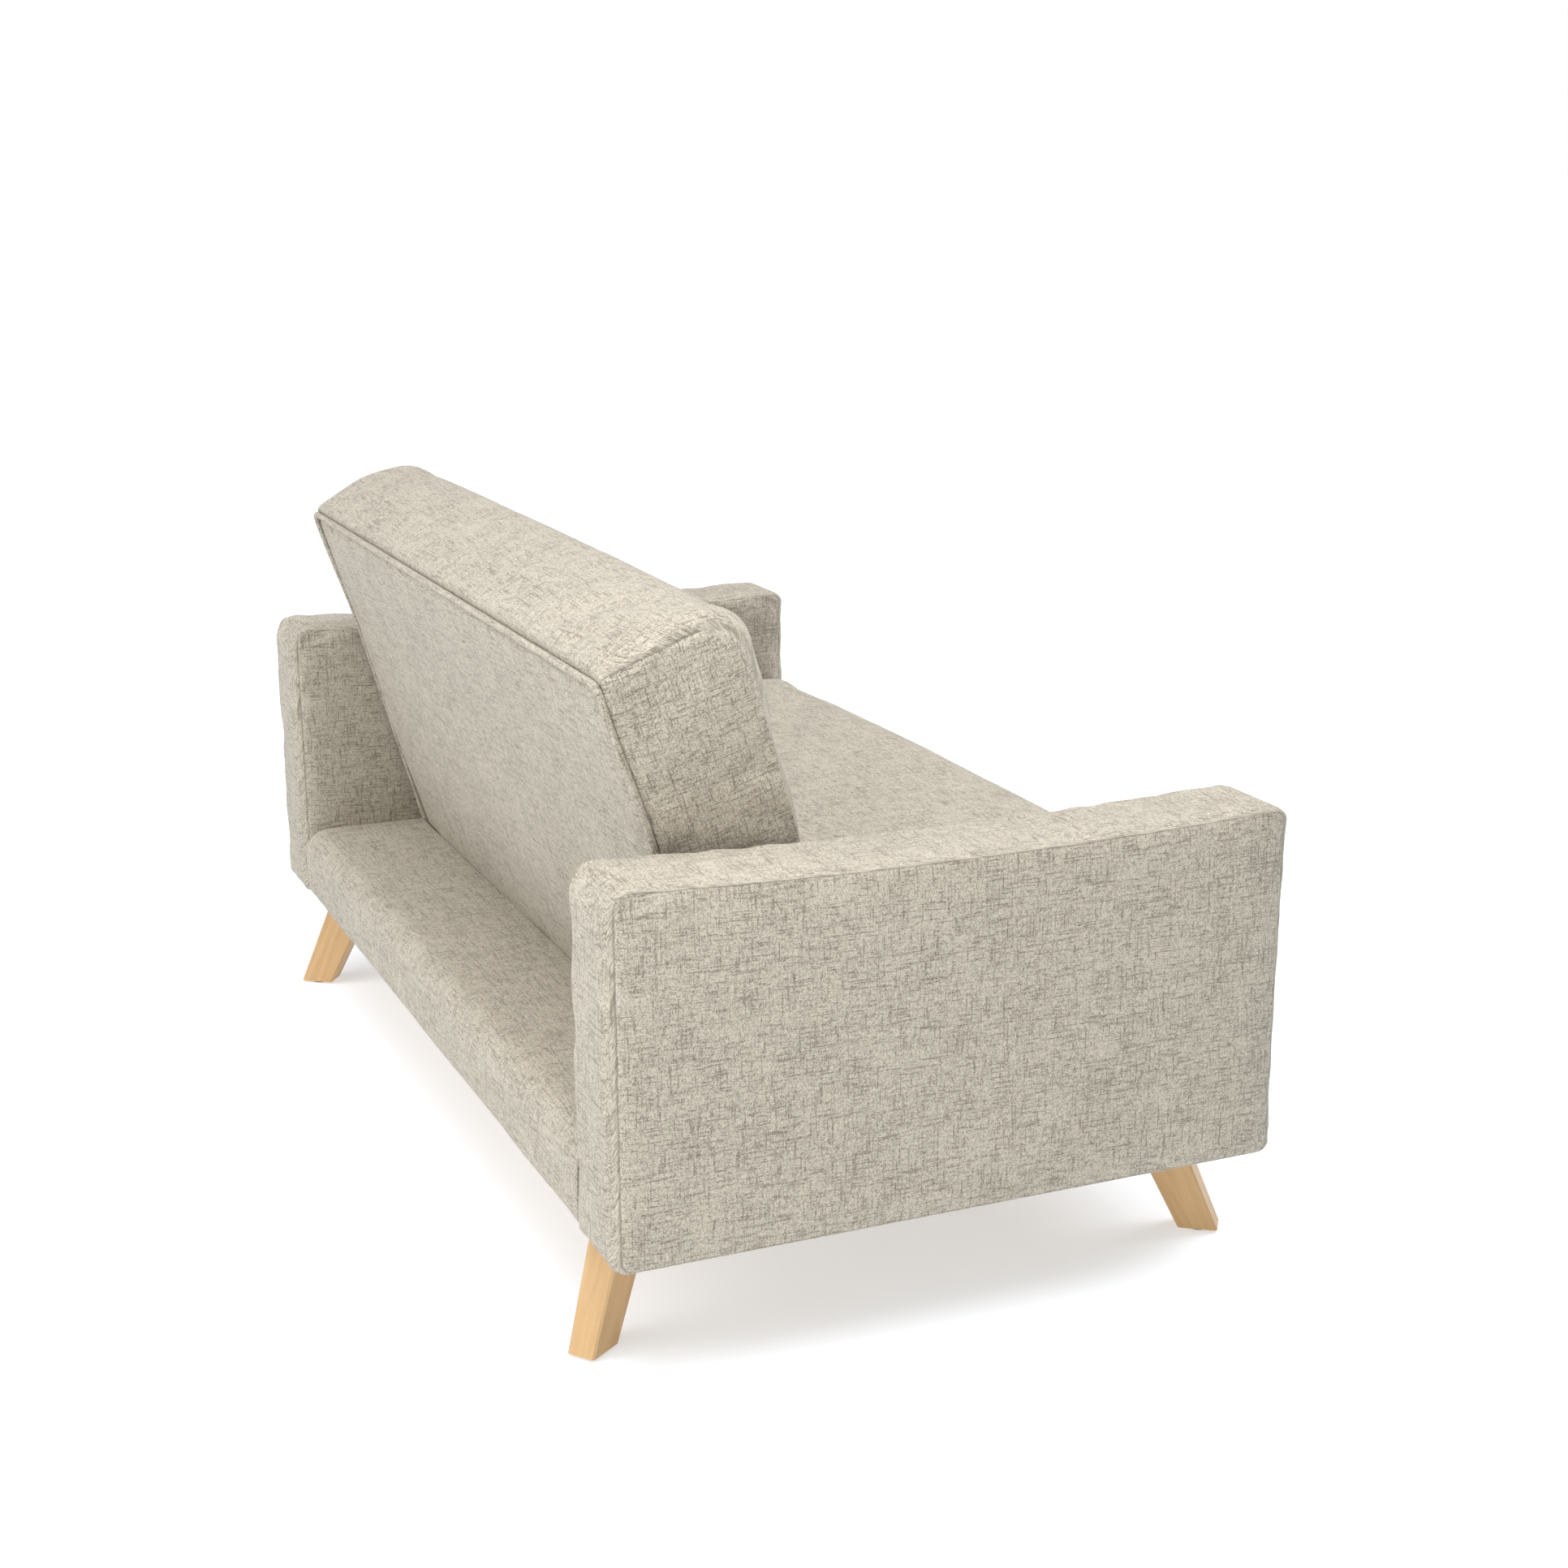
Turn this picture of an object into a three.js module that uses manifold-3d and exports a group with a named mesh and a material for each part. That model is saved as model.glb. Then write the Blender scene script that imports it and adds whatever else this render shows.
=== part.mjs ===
// A two-seat reclining sofa: box arms, padded rear ledge, one-piece seat, one-piece back on two
// ratchet hinges, four splayed wooden legs. Millimetres, +Z up, the front faces -Y, origin on the
// floor under the middle.
import * as THREE from 'three';
import { mergeVertices } from 'three/addons/utils/BufferGeometryUtils.js';
import Module from 'manifold-3d';

const wasm = await Module();
wasm.setup();

// ---- Driving dimensions -------------------------------------------------------------------------
const WIDTH = 1700;
const DEPTH = 870;
const GAP = 0.3; // between pieces that touch

const ARM_BOTTOM = 155;
const ARM_TOP = 604;
const ARM_THICK = 140;
const ARM_TOP_RADIUS = 55;
const ARM_FOOT_RADIUS = 26;
const ARM_EDGE = 14;
const ARM_BOARD_THICK = 20;

const BASE_BOTTOM = 158;
const LEDGE_TOP = 267;
const LEDGE_FRONT = 232;
const LEDGE_BACK = DEPTH / 2 - 2;
const LEDGE_PAD_THICK = 50;
const SKIN_THICK = 15; // padded fabric over the base's rear and front boards

const SEAT_TOP = 458;
const SEAT_FRONT = -428;
const SEAT_BACK = 52;
const SEAT_HALF_WIDTH = 701;
const SOFT_EDGE = 15; // rounding of the seat's and back's end faces

const BACK_LEAN = THREE.MathUtils.degToRad(15.6);
const BACK_FOOT = new THREE.Vector2(234, 263); // y, z of the back's lower rear edge
const BACK_LENGTH = 556;
const BACK_THICK = 188;
const BACK_HALF_WIDTH = 700;
const BACK_CROWN = 28;
const PIVOT = new THREE.Vector2(-105, 85.4); // y, z of the recline axis in the back's own frame

const BOARD = 22; // thickness of the base boards
const RAIL_WIDTH = 45; // width of the seat and back frame rails
const RAIL_THICK = 27;
const FRAME_INSET = 6; // the frames stand back from the edges of the upholstery over them

const LEG_FOOT = new THREE.Vector2(715, 419); // x, y of a foot's middle on the floor
const LEG_SPLAY_AZIMUTH = THREE.MathUtils.degToRad(54);
const LEG_SPLAY_RUN = 71;
const LEG_TOP_SECTION = [66, 46];
const LEG_FOOT_SECTION = [52, 38];
const LEG_CHAMFER = 2.5;
const GLIDE_THICK = 3;

const HALF_WIDTH = WIDTH / 2;
const HALF_DEPTH = DEPTH / 2;
const ARM_INNER = HALF_WIDTH - ARM_THICK;
const BASE_HALF_WIDTH = ARM_INNER - GAP;

// ---- Materials ----------------------------------------------------------------------------------
const finish = (color, roughness, metalness = 0) => () =>
  new THREE.MeshStandardMaterial({ color, roughness, metalness });
const fabric = finish(0xcdc4b4, 0.95);
const legWood = finish(0xe3bd86, 0.5);
const frameWood = finish(0xcaa878, 0.8);
const steel = finish(0x8b8f94, 0.35, 0.9);
const felt = finish(0x4a4744, 1.0);

// ---- Geometry helpers ---------------------------------------------------------------------------
const ROUND_STEPS = 5;

// A closed outline through corners [y, z, radius], each corner rounded by an arc of its radius.
function roundedOutline(corners, steps = ROUND_STEPS) {
  const points = [];
  corners.forEach(([y, z, radius = 0], index) => {
    const corner = new THREE.Vector2(y, z);
    const [previous, next] = [index + corners.length - 1, index + 1].map((i) => corners[i % corners.length]);
    const toPrevious = new THREE.Vector2(previous[0], previous[1]).sub(corner).normalize();
    const toNext = new THREE.Vector2(next[0], next[1]).sub(corner).normalize();
    if (radius === 0) {
      points.push(corner);
      return;
    }
    const halfAngle = Math.acos(toPrevious.dot(toNext)) / 2;
    const bisector = toPrevious.clone().add(toNext).normalize();
    const centre = corner.clone().addScaledVector(bisector, radius / Math.sin(halfAngle));
    const start = corner.clone().addScaledVector(toPrevious, radius / Math.tan(halfAngle)).sub(centre);
    const turn = (Math.PI - 2 * halfAngle) * Math.sign(toNext.cross(toPrevious));
    for (let i = 0; i <= steps; i += 1) {
      points.push(start.clone().rotateAround(new THREE.Vector2(), (turn * i) / steps).add(centre));
    }
  });
  return new THREE.Shape(points);
}

// Extrudes an outline drawn in (y, z) along X from x0 to x1; edge rounds the rims of both end faces.
function extrudeAlongX(shape, x0, x1, edge = 0, edgeSteps = 3) {
  const geometry = new THREE.ExtrudeGeometry(shape, {
    depth: x1 - x0 - 2 * edge,
    bevelEnabled: edge > 0,
    bevelThickness: edge,
    bevelSize: edge,
    bevelOffset: -edge,
    bevelSegments: edgeSteps,
  });
  const axes = [new THREE.Vector3(0, 1, 0), new THREE.Vector3(0, 0, 1), new THREE.Vector3(1, 0, 0)];
  geometry.applyMatrix4(new THREE.Matrix4().makeBasis(...axes));
  return geometry.translate(x0 + edge, 0, 0);
}

function box([x0, x1], [y0, y1], [z0, z1]) {
  const geometry = new THREE.BoxGeometry(x1 - x0, y1 - y0, z1 - z0);
  return geometry.translate((x0 + x1) / 2, (y0 + y1) / 2, (z0 + z1) / 2);
}

function cylinderAlongX(radius, x0, x1, [y, z], segments = 20) {
  const geometry = new THREE.CylinderGeometry(radius, radius, x1 - x0, segments);
  return geometry.rotateZ(-Math.PI / 2).translate((x0 + x1) / 2, y, z);
}

function cylinderAlongZ(radius, [x, y], z0, z1, segments = 16) {
  const geometry = new THREE.CylinderGeometry(radius, radius, z1 - z0, segments);
  return geometry.rotateX(Math.PI / 2).translate(x, y, (z0 + z1) / 2);
}

function toSolid(geometry) {
  const bare = geometry.clone();
  bare.deleteAttribute('normal');
  bare.deleteAttribute('uv');
  const merged = mergeVertices(bare, 1e-4);
  return new wasm.Manifold(new wasm.Mesh({
    numProp: 3,
    vertProperties: new Float32Array(merged.attributes.position.array),
    triVerts: new Uint32Array(merged.index.array),
  }));
}

function toGeometry(solid) {
  const { vertProperties, triVerts } = solid.getMesh();
  const geometry = new THREE.BufferGeometry();
  geometry.setAttribute('position', new THREE.BufferAttribute(vertProperties, 3));
  geometry.setIndex(new THREE.BufferAttribute(triVerts, 1));
  geometry.computeVertexNormals();
  return geometry;
}

function cut(geometry, ...cutters) {
  return toGeometry(cutters.reduce((solid, cutter) => solid.subtract(toSolid(cutter)), toSolid(geometry)));
}

function join(geometry, ...others) {
  return toGeometry(others.reduce((solid, other) => solid.add(toSolid(other)), toSolid(geometry)));
}

// The same range on the left (side -1) or right (side +1) of the middle plane.
const mirrored = (side, inner, outer) => (side > 0 ? [inner, outer] : [-outer, -inner]);
const SIDES = [['left', 1], ['right', -1]];

const sofa = new THREE.Group();
function add(parent, name, geometry, material) {
  const mesh = new THREE.Mesh(geometry, material());
  mesh.name = name;
  parent.add(mesh);
}

// ---- Arms ---------------------------------------------------------------------------------------
const ARM_BOARD_CENTRE = HALF_WIDTH - ARM_THICK / 2;
const ARM_BOARD_Y = [-400, 400];
const ARM_BOARD_TOP = 570;
const ARM_BOLT_RADIUS = 5;
const ARM_BOLTS = [[-300, 195], [150, 195]]; // y, z
const SIDE_RAIL_OUTER = ARM_INNER - 5.3;
const SIDE_RAIL_INNER = SIDE_RAIL_OUTER - BOARD;

function addArm(name, side) {
  const outline = roundedOutline([
    [-HALF_DEPTH, ARM_BOTTOM, ARM_FOOT_RADIUS],
    [HALF_DEPTH, ARM_BOTTOM, ARM_FOOT_RADIUS],
    [HALF_DEPTH, ARM_TOP, ARM_TOP_RADIUS],
    [-HALF_DEPTH, ARM_TOP, ARM_TOP_RADIUS],
  ]);
  const slab = extrudeAlongX(outline, ...mirrored(side, ARM_INNER, HALF_WIDTH), ARM_EDGE);
  const slotHalf = ARM_BOARD_THICK / 2;
  const slotX = mirrored(side, ARM_BOARD_CENTRE - slotHalf, ARM_BOARD_CENTRE + slotHalf);
  const slot = box(slotX, ARM_BOARD_Y, [ARM_BOTTOM - 1, ARM_BOARD_TOP]);
  const boltX = mirrored(side, SIDE_RAIL_INNER, ARM_BOARD_CENTRE + slotHalf - 3);
  const holes = () => ARM_BOLTS.map((spot) => cylinderAlongX(ARM_BOLT_RADIUS + GAP, ...boltX, spot));
  add(sofa, `arm_pad_${name}`, cut(slab, slot, ...holes()), fabric);

  const board = box(
    [slotX[0] + GAP, slotX[1] - GAP],
    [ARM_BOARD_Y[0] + GAP, ARM_BOARD_Y[1] - GAP],
    [ARM_BOTTOM, ARM_BOARD_TOP - GAP],
  );
  add(sofa, `arm_board_${name}`, cut(board, ...holes()), frameWood);

  const shankX = mirrored(side, SIDE_RAIL_INNER - 1, ARM_BOARD_CENTRE + slotHalf - 4);
  const headX = mirrored(side, SIDE_RAIL_INNER - 8, SIDE_RAIL_INNER - GAP);
  ARM_BOLTS.forEach((spot, index) => {
    const head = cylinderAlongX(ARM_BOLT_RADIUS * 1.8, ...headX, spot, 6);
    const bolt = join(cylinderAlongX(ARM_BOLT_RADIUS, ...shankX, spot), head);
    add(sofa, `arm_bolt_${name}_${index + 1}`, bolt, steel);
  });
}

// ---- Base ---------------------------------------------------------------------------------------
const APRON_FRONT = -433;
const RAIL_BOTTOM = BASE_BOTTOM + 3;
const SIDE_RAIL_TOP = 235;
const CROSS_RAIL_TOP = 200;
const CROSS_RAILS = [-230, 230];
const FRONT_RAIL_Y = [APRON_FRONT + SKIN_THICK + GAP, APRON_FRONT + SKIN_THICK + GAP + BOARD];
const REAR_RAIL_Y = [LEDGE_BACK - SKIN_THICK - GAP - BOARD, LEDGE_BACK - SKIN_THICK - GAP];

function addBase() {
  const railX = [-BASE_HALF_WIDTH, BASE_HALF_WIDTH];
  const padBottom = LEDGE_TOP - LEDGE_PAD_THICK;
  const padOutline = roundedOutline([
    [LEDGE_FRONT, padBottom],
    [LEDGE_BACK, padBottom],
    [LEDGE_BACK, LEDGE_TOP, LEDGE_PAD_THICK - 1],
    [LEDGE_FRONT, LEDGE_TOP, 10],
  ], 8);
  add(sofa, 'ledge_pad', extrudeAlongX(padOutline, ...railX), fabric);
  const rearSkin = roundedOutline([
    [LEDGE_BACK - SKIN_THICK, BASE_BOTTOM],
    [LEDGE_BACK, BASE_BOTTOM, SKIN_THICK - 1],
    [LEDGE_BACK, padBottom - GAP],
    [LEDGE_BACK - SKIN_THICK, padBottom - GAP],
  ]);
  add(sofa, 'rear_skin', extrudeAlongX(rearSkin, ...railX), fabric);
  const boardZ = [padBottom - GAP - BOARD, padBottom - GAP];
  add(sofa, 'ledge_board', box(railX, [LEDGE_FRONT, REAR_RAIL_Y[1]], boardZ), frameWood);
  const underBoard = [RAIL_BOTTOM, boardZ[0] - GAP];
  add(sofa, 'rear_rail', box(railX, REAR_RAIL_Y, underBoard), frameWood);
  add(sofa, 'ledge_rail', box(railX, [LEDGE_FRONT, LEDGE_FRONT + BOARD], underBoard), frameWood);

  const frontSkin = roundedOutline([
    [APRON_FRONT, BASE_BOTTOM, SKIN_THICK - 1],
    [APRON_FRONT + SKIN_THICK, BASE_BOTTOM],
    [APRON_FRONT + SKIN_THICK, LEDGE_TOP],
    [APRON_FRONT, LEDGE_TOP, 6],
  ]);
  add(sofa, 'apron_skin', extrudeAlongX(frontSkin, ...railX), fabric);
  add(sofa, 'front_rail', box(railX, FRONT_RAIL_Y, [RAIL_BOTTOM, LEDGE_TOP]), frameWood);

  const lengthY = [FRONT_RAIL_Y[1] + GAP, LEDGE_FRONT - GAP];
  for (const [name, side] of SIDES) {
    const rail = box(mirrored(side, SIDE_RAIL_INNER, SIDE_RAIL_OUTER), lengthY, [RAIL_BOTTOM, SIDE_RAIL_TOP]);
    const holeX = mirrored(side, SIDE_RAIL_INNER - 1, SIDE_RAIL_OUTER + 1);
    const holes = ARM_BOLTS.map((spot) => cylinderAlongX(ARM_BOLT_RADIUS + GAP, ...holeX, spot));
    add(sofa, `side_rail_${name}`, cut(rail, ...holes), frameWood);
  }
  CROSS_RAILS.forEach((x, index) => {
    const rail = box([x - BOARD / 2, x + BOARD / 2], lengthY, [RAIL_BOTTOM, CROSS_RAIL_TOP]);
    add(sofa, `cross_rail_${index + 1}`, rail, frameWood);
  });
  const bearerX = [-SIDE_RAIL_INNER + GAP, SIDE_RAIL_INNER - GAP];
  const bearerZ = [CROSS_RAIL_TOP + GAP, LEDGE_TOP];
  add(sofa, 'seat_bearer', box(bearerX, [SEAT_BACK - 2 * BOARD, SEAT_BACK - BOARD], bearerZ), frameWood);
}

// ---- Legs ---------------------------------------------------------------------------------------
const LEG_BOLT_RADIUS = 5;
const LEG_BOLT_Z = [122, 182];
const BLOCK_TOP = 190;
const BLOCK_WIDTH = 56;
const BLOCK_LENGTH = 64;

// A rectangle with small chamfers, centred on `middle`, its long side along `along`.
function chamferedSection(middle, along, [length, width], z) {
  const across = new THREE.Vector2(-along.y, along.x);
  const [a, b] = [length / 2, width / 2];
  const c = LEG_CHAMFER;
  const half = [[a, b - c], [a - c, b], [c - a, b], [-a, b - c]];
  const ring = [...half, ...half.map(([u, v]) => [-u, -v])];
  return ring.map(([u, v]) => {
    const spot = middle.clone().addScaledVector(along, u).addScaledVector(across, v);
    return new THREE.Vector3(spot.x, spot.y, z);
  });
}

// A closed body between two rings of the same number of points, both running anticlockwise from above.
function loft(lower, upper) {
  const count = lower.length;
  const triangles = [];
  for (let i = 0; i < count; i += 1) {
    const j = (i + 1) % count;
    triangles.push(i, j, count + j, i, count + j, count + i);
    if (i > 0 && j > 0) {
      triangles.push(0, j, i, count, count + i, count + j);
    }
  }
  const geometry = new THREE.BufferGeometry().setFromPoints([...lower, ...upper]);
  geometry.setIndex(triangles);
  geometry.computeVertexNormals();
  return geometry;
}

function addLeg(name, side, facing) {
  const along = new THREE.Vector2(side * Math.cos(LEG_SPLAY_AZIMUTH), facing * Math.sin(LEG_SPLAY_AZIMUTH));
  const foot = new THREE.Vector2(side * LEG_FOOT.x, facing * LEG_FOOT.y);
  const head = foot.clone().addScaledVector(along, -LEG_SPLAY_RUN);
  const lower = chamferedSection(foot, along, LEG_FOOT_SECTION, GLIDE_THICK + GAP);
  const upper = chamferedSection(head, along, LEG_TOP_SECTION, ARM_BOTTOM - GAP);
  const [boltBottom, boltTop] = LEG_BOLT_Z;
  const boltHole = () => cylinderAlongZ(LEG_BOLT_RADIUS + GAP, [head.x, head.y], boltBottom - 1, boltTop + 1);
  add(sofa, `leg_${name}`, cut(loft(lower, upper), boltHole()), legWood);
  add(sofa, `glide_${name}`, cylinderAlongZ(14, [foot.x, foot.y], 0, GLIDE_THICK), felt);
  const bolt = cylinderAlongZ(LEG_BOLT_RADIUS, [head.x, head.y], ...LEG_BOLT_Z);
  add(sofa, `leg_bolt_${name}`, bolt, steel);

  const blockX = mirrored(side, SIDE_RAIL_INNER - GAP - BLOCK_WIDTH, SIDE_RAIL_INNER - GAP);
  const limit = facing > 0 ? REAR_RAIL_Y[0] - GAP : -FRONT_RAIL_Y[1] - GAP;
  const blockY = mirrored(facing, limit - BLOCK_LENGTH, limit);
  const block = box(blockX, blockY, [ARM_BOTTOM + GAP, BLOCK_TOP]);
  add(sofa, `corner_block_${name}`, cut(block, boltHole()), frameWood);
}

// ---- Seat ---------------------------------------------------------------------------------------
const SEAT_FRAME_BOTTOM = LEDGE_TOP + GAP;
const SLAT_WIDTH = 60;
const SEAT_SLATS = [-330, 0, 330];

function addSeat() {
  const frameZ = [SEAT_FRAME_BOTTOM, SEAT_FRAME_BOTTOM + RAIL_THICK];
  const padBottom = frameZ[1] + GAP;
  const outline = roundedOutline([
    [SEAT_FRONT, padBottom, SOFT_EDGE + 2],
    [SEAT_BACK, padBottom, SOFT_EDGE + 2],
    [SEAT_BACK, SEAT_TOP, 30],
    [SEAT_FRONT, SEAT_TOP, 45],
  ]);
  add(sofa, 'seat_pad', extrudeAlongX(outline, -SEAT_HALF_WIDTH, SEAT_HALF_WIDTH, SOFT_EDGE), fabric);

  const halfX = SEAT_HALF_WIDTH - FRAME_INSET;
  const [y0, y1] = [SEAT_FRONT + FRAME_INSET, SEAT_BACK - FRAME_INSET];
  const insideY = [y0 + RAIL_WIDTH + GAP, y1 - RAIL_WIDTH - GAP];
  add(sofa, 'seat_rail_front', box([-halfX, halfX], [y0, y0 + RAIL_WIDTH], frameZ), frameWood);
  add(sofa, 'seat_rail_rear', box([-halfX, halfX], [y1 - RAIL_WIDTH, y1], frameZ), frameWood);
  for (const [name, side] of SIDES) {
    const railX = mirrored(side, halfX - RAIL_WIDTH, halfX);
    add(sofa, `seat_rail_${name}`, box(railX, insideY, frameZ), frameWood);
  }
  SEAT_SLATS.forEach((x, index) => {
    const slatX = [x - SLAT_WIDTH / 2, x + SLAT_WIDTH / 2];
    add(sofa, `seat_slat_${index + 1}`, box(slatX, insideY, frameZ), frameWood);
  });
}

// ---- Back: built upright in its own frame, rear face at y = 0, foot at z = 0, then leaned -------
const back = new THREE.Group();
back.position.set(0, BACK_FOOT.x, BACK_FOOT.y);
back.rotation.x = -BACK_LEAN;
sofa.add(back);

const PANEL_THICK = 8;
const PANEL_INSET = 12;
const BACK_SLATS = [-225, 225];
const PIN_HEAD_RADIUS = 13;
const PIN_HEAD_X = [BACK_HALF_WIDTH - 6, BACK_HALF_WIDTH];

function addBackUpholstery() {
  const frameY = [-PANEL_THICK - GAP - RAIL_THICK, -PANEL_THICK - GAP];
  const padRear = frameY[0] - GAP;
  const outline = roundedOutline([
    [-BACK_THICK, 0, 50],
    [padRear, 0, SOFT_EDGE + 1],
    [padRear, BACK_LENGTH + BACK_CROWN / 3, SOFT_EDGE + 1],
    [-BACK_THICK / 2, BACK_LENGTH + BACK_CROWN, 90],
    [-BACK_THICK, BACK_LENGTH + BACK_CROWN, 45],
  ]);
  const block = extrudeAlongX(outline, -BACK_HALF_WIDTH, BACK_HALF_WIDTH, SOFT_EDGE);
  const pinHole = (side) => cylinderAlongX(
    PIN_HEAD_RADIUS + 1,
    ...mirrored(side, PIN_HEAD_X[0] - 2, PIN_HEAD_X[1] + 1),
    [PIVOT.x, PIVOT.y],
  );
  add(back, 'back_pad', cut(block, pinHole(1), pinHole(-1)), fabric);
  const panelX = BACK_HALF_WIDTH - PANEL_INSET;
  const panelZ = [PANEL_INSET, BACK_LENGTH - PANEL_INSET];
  add(back, 'back_panel', box([-panelX, panelX], [-PANEL_THICK, 0], panelZ), fabric);

  const frameX = BACK_HALF_WIDTH - FRAME_INSET;
  const frameZ = [FRAME_INSET, BACK_LENGTH - FRAME_INSET];
  const insideZ = [frameZ[0] + RAIL_WIDTH + GAP, frameZ[1] - RAIL_WIDTH - GAP];
  const railX = [-frameX, frameX];
  add(back, 'back_rail_bottom', box(railX, frameY, [frameZ[0], frameZ[0] + RAIL_WIDTH]), frameWood);
  add(back, 'back_rail_top', box(railX, frameY, [frameZ[1] - RAIL_WIDTH, frameZ[1]]), frameWood);
  for (const [name, side] of SIDES) {
    const postX = mirrored(side, frameX - RAIL_WIDTH, frameX);
    add(back, `back_post_${name}`, box(postX, frameY, insideZ), frameWood);
  }
  BACK_SLATS.forEach((x, index) => {
    const slatX = [x - SLAT_WIDTH / 2, x + SLAT_WIDTH / 2];
    add(back, `back_slat_${index + 1}`, box(slatX, frameY, insideZ), frameWood);
  });
}

// ---- Recline hinges -----------------------------------------------------------------------------
const PIN_RADIUS = 8;
const BACK_PLATE_X = [BACK_HALF_WIDTH + GAP, BACK_HALF_WIDTH + 4.3];
const FIXED_PLATE_X = [ARM_INNER - 5, ARM_INNER - 0.5];
const RATCHET_RADIUS = 44;
const TOOTH_HEIGHT = 5;
const TOOTH_ANGLE = THREE.MathUtils.degToRad(12);
const TEETH = 11;
const FIRST_TOOTH = THREE.MathUtils.degToRad(-10);
const PLATE_NECK = 40; // half width of the fixed plate below the pivot
const PLATE_FOOT = 170;
const PAWL_STUD_RADIUS = 5;
const PAWL_ARM = 68; // from the pivot to the pawl's own stud
const PAWL_STUD_ANGLE = THREE.MathUtils.degToRad(125);
const PAWL_TIP_ANGLE = THREE.MathUtils.degToRad(96);

function polar(centre, radius, angle) {
  return [centre.x + radius * Math.cos(angle), centre.y + radius * Math.sin(angle)];
}

// The recline axis in the sofa's frame.
const pivotWorld = PIVOT.clone().rotateAround(new THREE.Vector2(), -BACK_LEAN).add(BACK_FOOT);

function fixedPlate(side) {
  const points = [[pivotWorld.x + PLATE_NECK, PLATE_FOOT]];
  for (let tooth = 0; tooth < TEETH; tooth += 1) {
    const angle = FIRST_TOOTH + tooth * TOOTH_ANGLE;
    points.push(polar(pivotWorld, RATCHET_RADIUS, angle));
    points.push(polar(pivotWorld, RATCHET_RADIUS + TOOTH_HEIGHT, angle));
  }
  points.push([pivotWorld.x - PLATE_NECK, pivotWorld.y + 8], [pivotWorld.x - PLATE_NECK, PLATE_FOOT]);
  const shape = new THREE.Shape(points.map(([y, z]) => new THREE.Vector2(y, z)));
  const plateX = mirrored(side, ...FIXED_PLATE_X);
  const hole = cylinderAlongX(PIN_RADIUS + GAP, plateX[0] - 1, plateX[1] + 1, [pivotWorld.x, pivotWorld.y]);
  const boltHoles = ARM_BOLTS.map((spot) => cylinderAlongX(
    ARM_BOLT_RADIUS + GAP, plateX[0] - 1, plateX[1] + 1, spot, 12));
  return cut(extrudeAlongX(shape, ...plateX), hole, ...boltHoles);
}

// The swinging plate and its pawl are drawn in the back's own frame, where the back's length runs along Z.
function backPlate(side) {
  const stud = polar(PIVOT, PAWL_ARM, PAWL_STUD_ANGLE);
  const shape = roundedOutline([
    [PIVOT.x - 20, PIVOT.y - 24, 12],
    [PIVOT.x + 30, PIVOT.y - 24, 20],
    [-14, 150, 15],
    [-14, 235, 15],
    [-58, 235, 15],
    [stud[0] - 16, stud[1] + 22, 14],
    [stud[0] - 16, stud[1] - 22, 14],
  ], 4);
  const plateX = mirrored(side, ...BACK_PLATE_X);
  const pinHole = cylinderAlongX(PIN_RADIUS + GAP, plateX[0] - 1, plateX[1] + 1, [PIVOT.x, PIVOT.y]);
  const studX = mirrored(side, BACK_PLATE_X[0] + 1, FIXED_PLATE_X[1]);
  const plate = cut(extrudeAlongX(shape, ...plateX), pinHole);
  return join(plate, cylinderAlongX(PAWL_STUD_RADIUS, ...studX, stud));
}

function pawl(side) {
  const stud = polar(PIVOT, PAWL_ARM, PAWL_STUD_ANGLE);
  const tip = RATCHET_RADIUS + TOOTH_HEIGHT + 2;
  const shape = roundedOutline([
    polar(PIVOT, tip, PAWL_TIP_ANGLE),
    [...polar(PIVOT, tip + 12, PAWL_TIP_ANGLE), 4],
    [...polar(PIVOT, PAWL_ARM + 12, PAWL_STUD_ANGLE - 0.15), 8],
    [...polar(PIVOT, PAWL_ARM + 10, PAWL_STUD_ANGLE + 0.17), 8],
    [...polar(PIVOT, PAWL_ARM - 9, PAWL_STUD_ANGLE + 0.17), 8],
  ], 4);
  const x = mirrored(side, BACK_PLATE_X[1] + 2 * GAP, FIXED_PLATE_X[1]);
  return cut(extrudeAlongX(shape, ...x), cylinderAlongX(PAWL_STUD_RADIUS + GAP, x[0] - 1, x[1] + 1, stud));
}

// A headed pin, turned about its own axis and laid along X.
function pivotPin(side) {
  const headLength = PIN_HEAD_X[1] - PIN_HEAD_X[0];
  const length = FIXED_PLATE_X[1] - PIN_HEAD_X[0];
  const profile = [[0, 0], [PIN_HEAD_RADIUS, 0], [PIN_HEAD_RADIUS, headLength], [PIN_RADIUS, headLength]];
  profile.push([PIN_RADIUS, length], [0, length]);
  const geometry = new THREE.LatheGeometry(profile.map(([r, h]) => new THREE.Vector2(r, h)), 20);
  geometry.rotateZ(side > 0 ? -Math.PI / 2 : Math.PI / 2);
  return geometry.translate(side * PIN_HEAD_X[0], pivotWorld.x, pivotWorld.y);
}

function addHinge(name, side) {
  add(sofa, `hinge_plate_${name}`, fixedPlate(side), steel);
  add(sofa, `pivot_pin_${name}`, pivotPin(side), steel);
  add(back, `back_plate_${name}`, backPlate(side), steel);
  add(back, `pawl_${name}`, pawl(side), steel);
}

// ---- Assembly -----------------------------------------------------------------------------------
for (const [name, side] of SIDES) {
  addArm(name, side);
}
addBase();
for (const [name, side] of SIDES) {
  addLeg(`front_${name}`, side, -1);
  addLeg(`rear_${name}`, side, 1);
}
addSeat();
addBackUpholstery();
for (const [name, side] of SIDES) {
  addHinge(name, side);
}

export default sofa;
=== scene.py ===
import math

import bmesh
import bpy
import numpy as np
from mathutils import Matrix, Vector, noise


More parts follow.
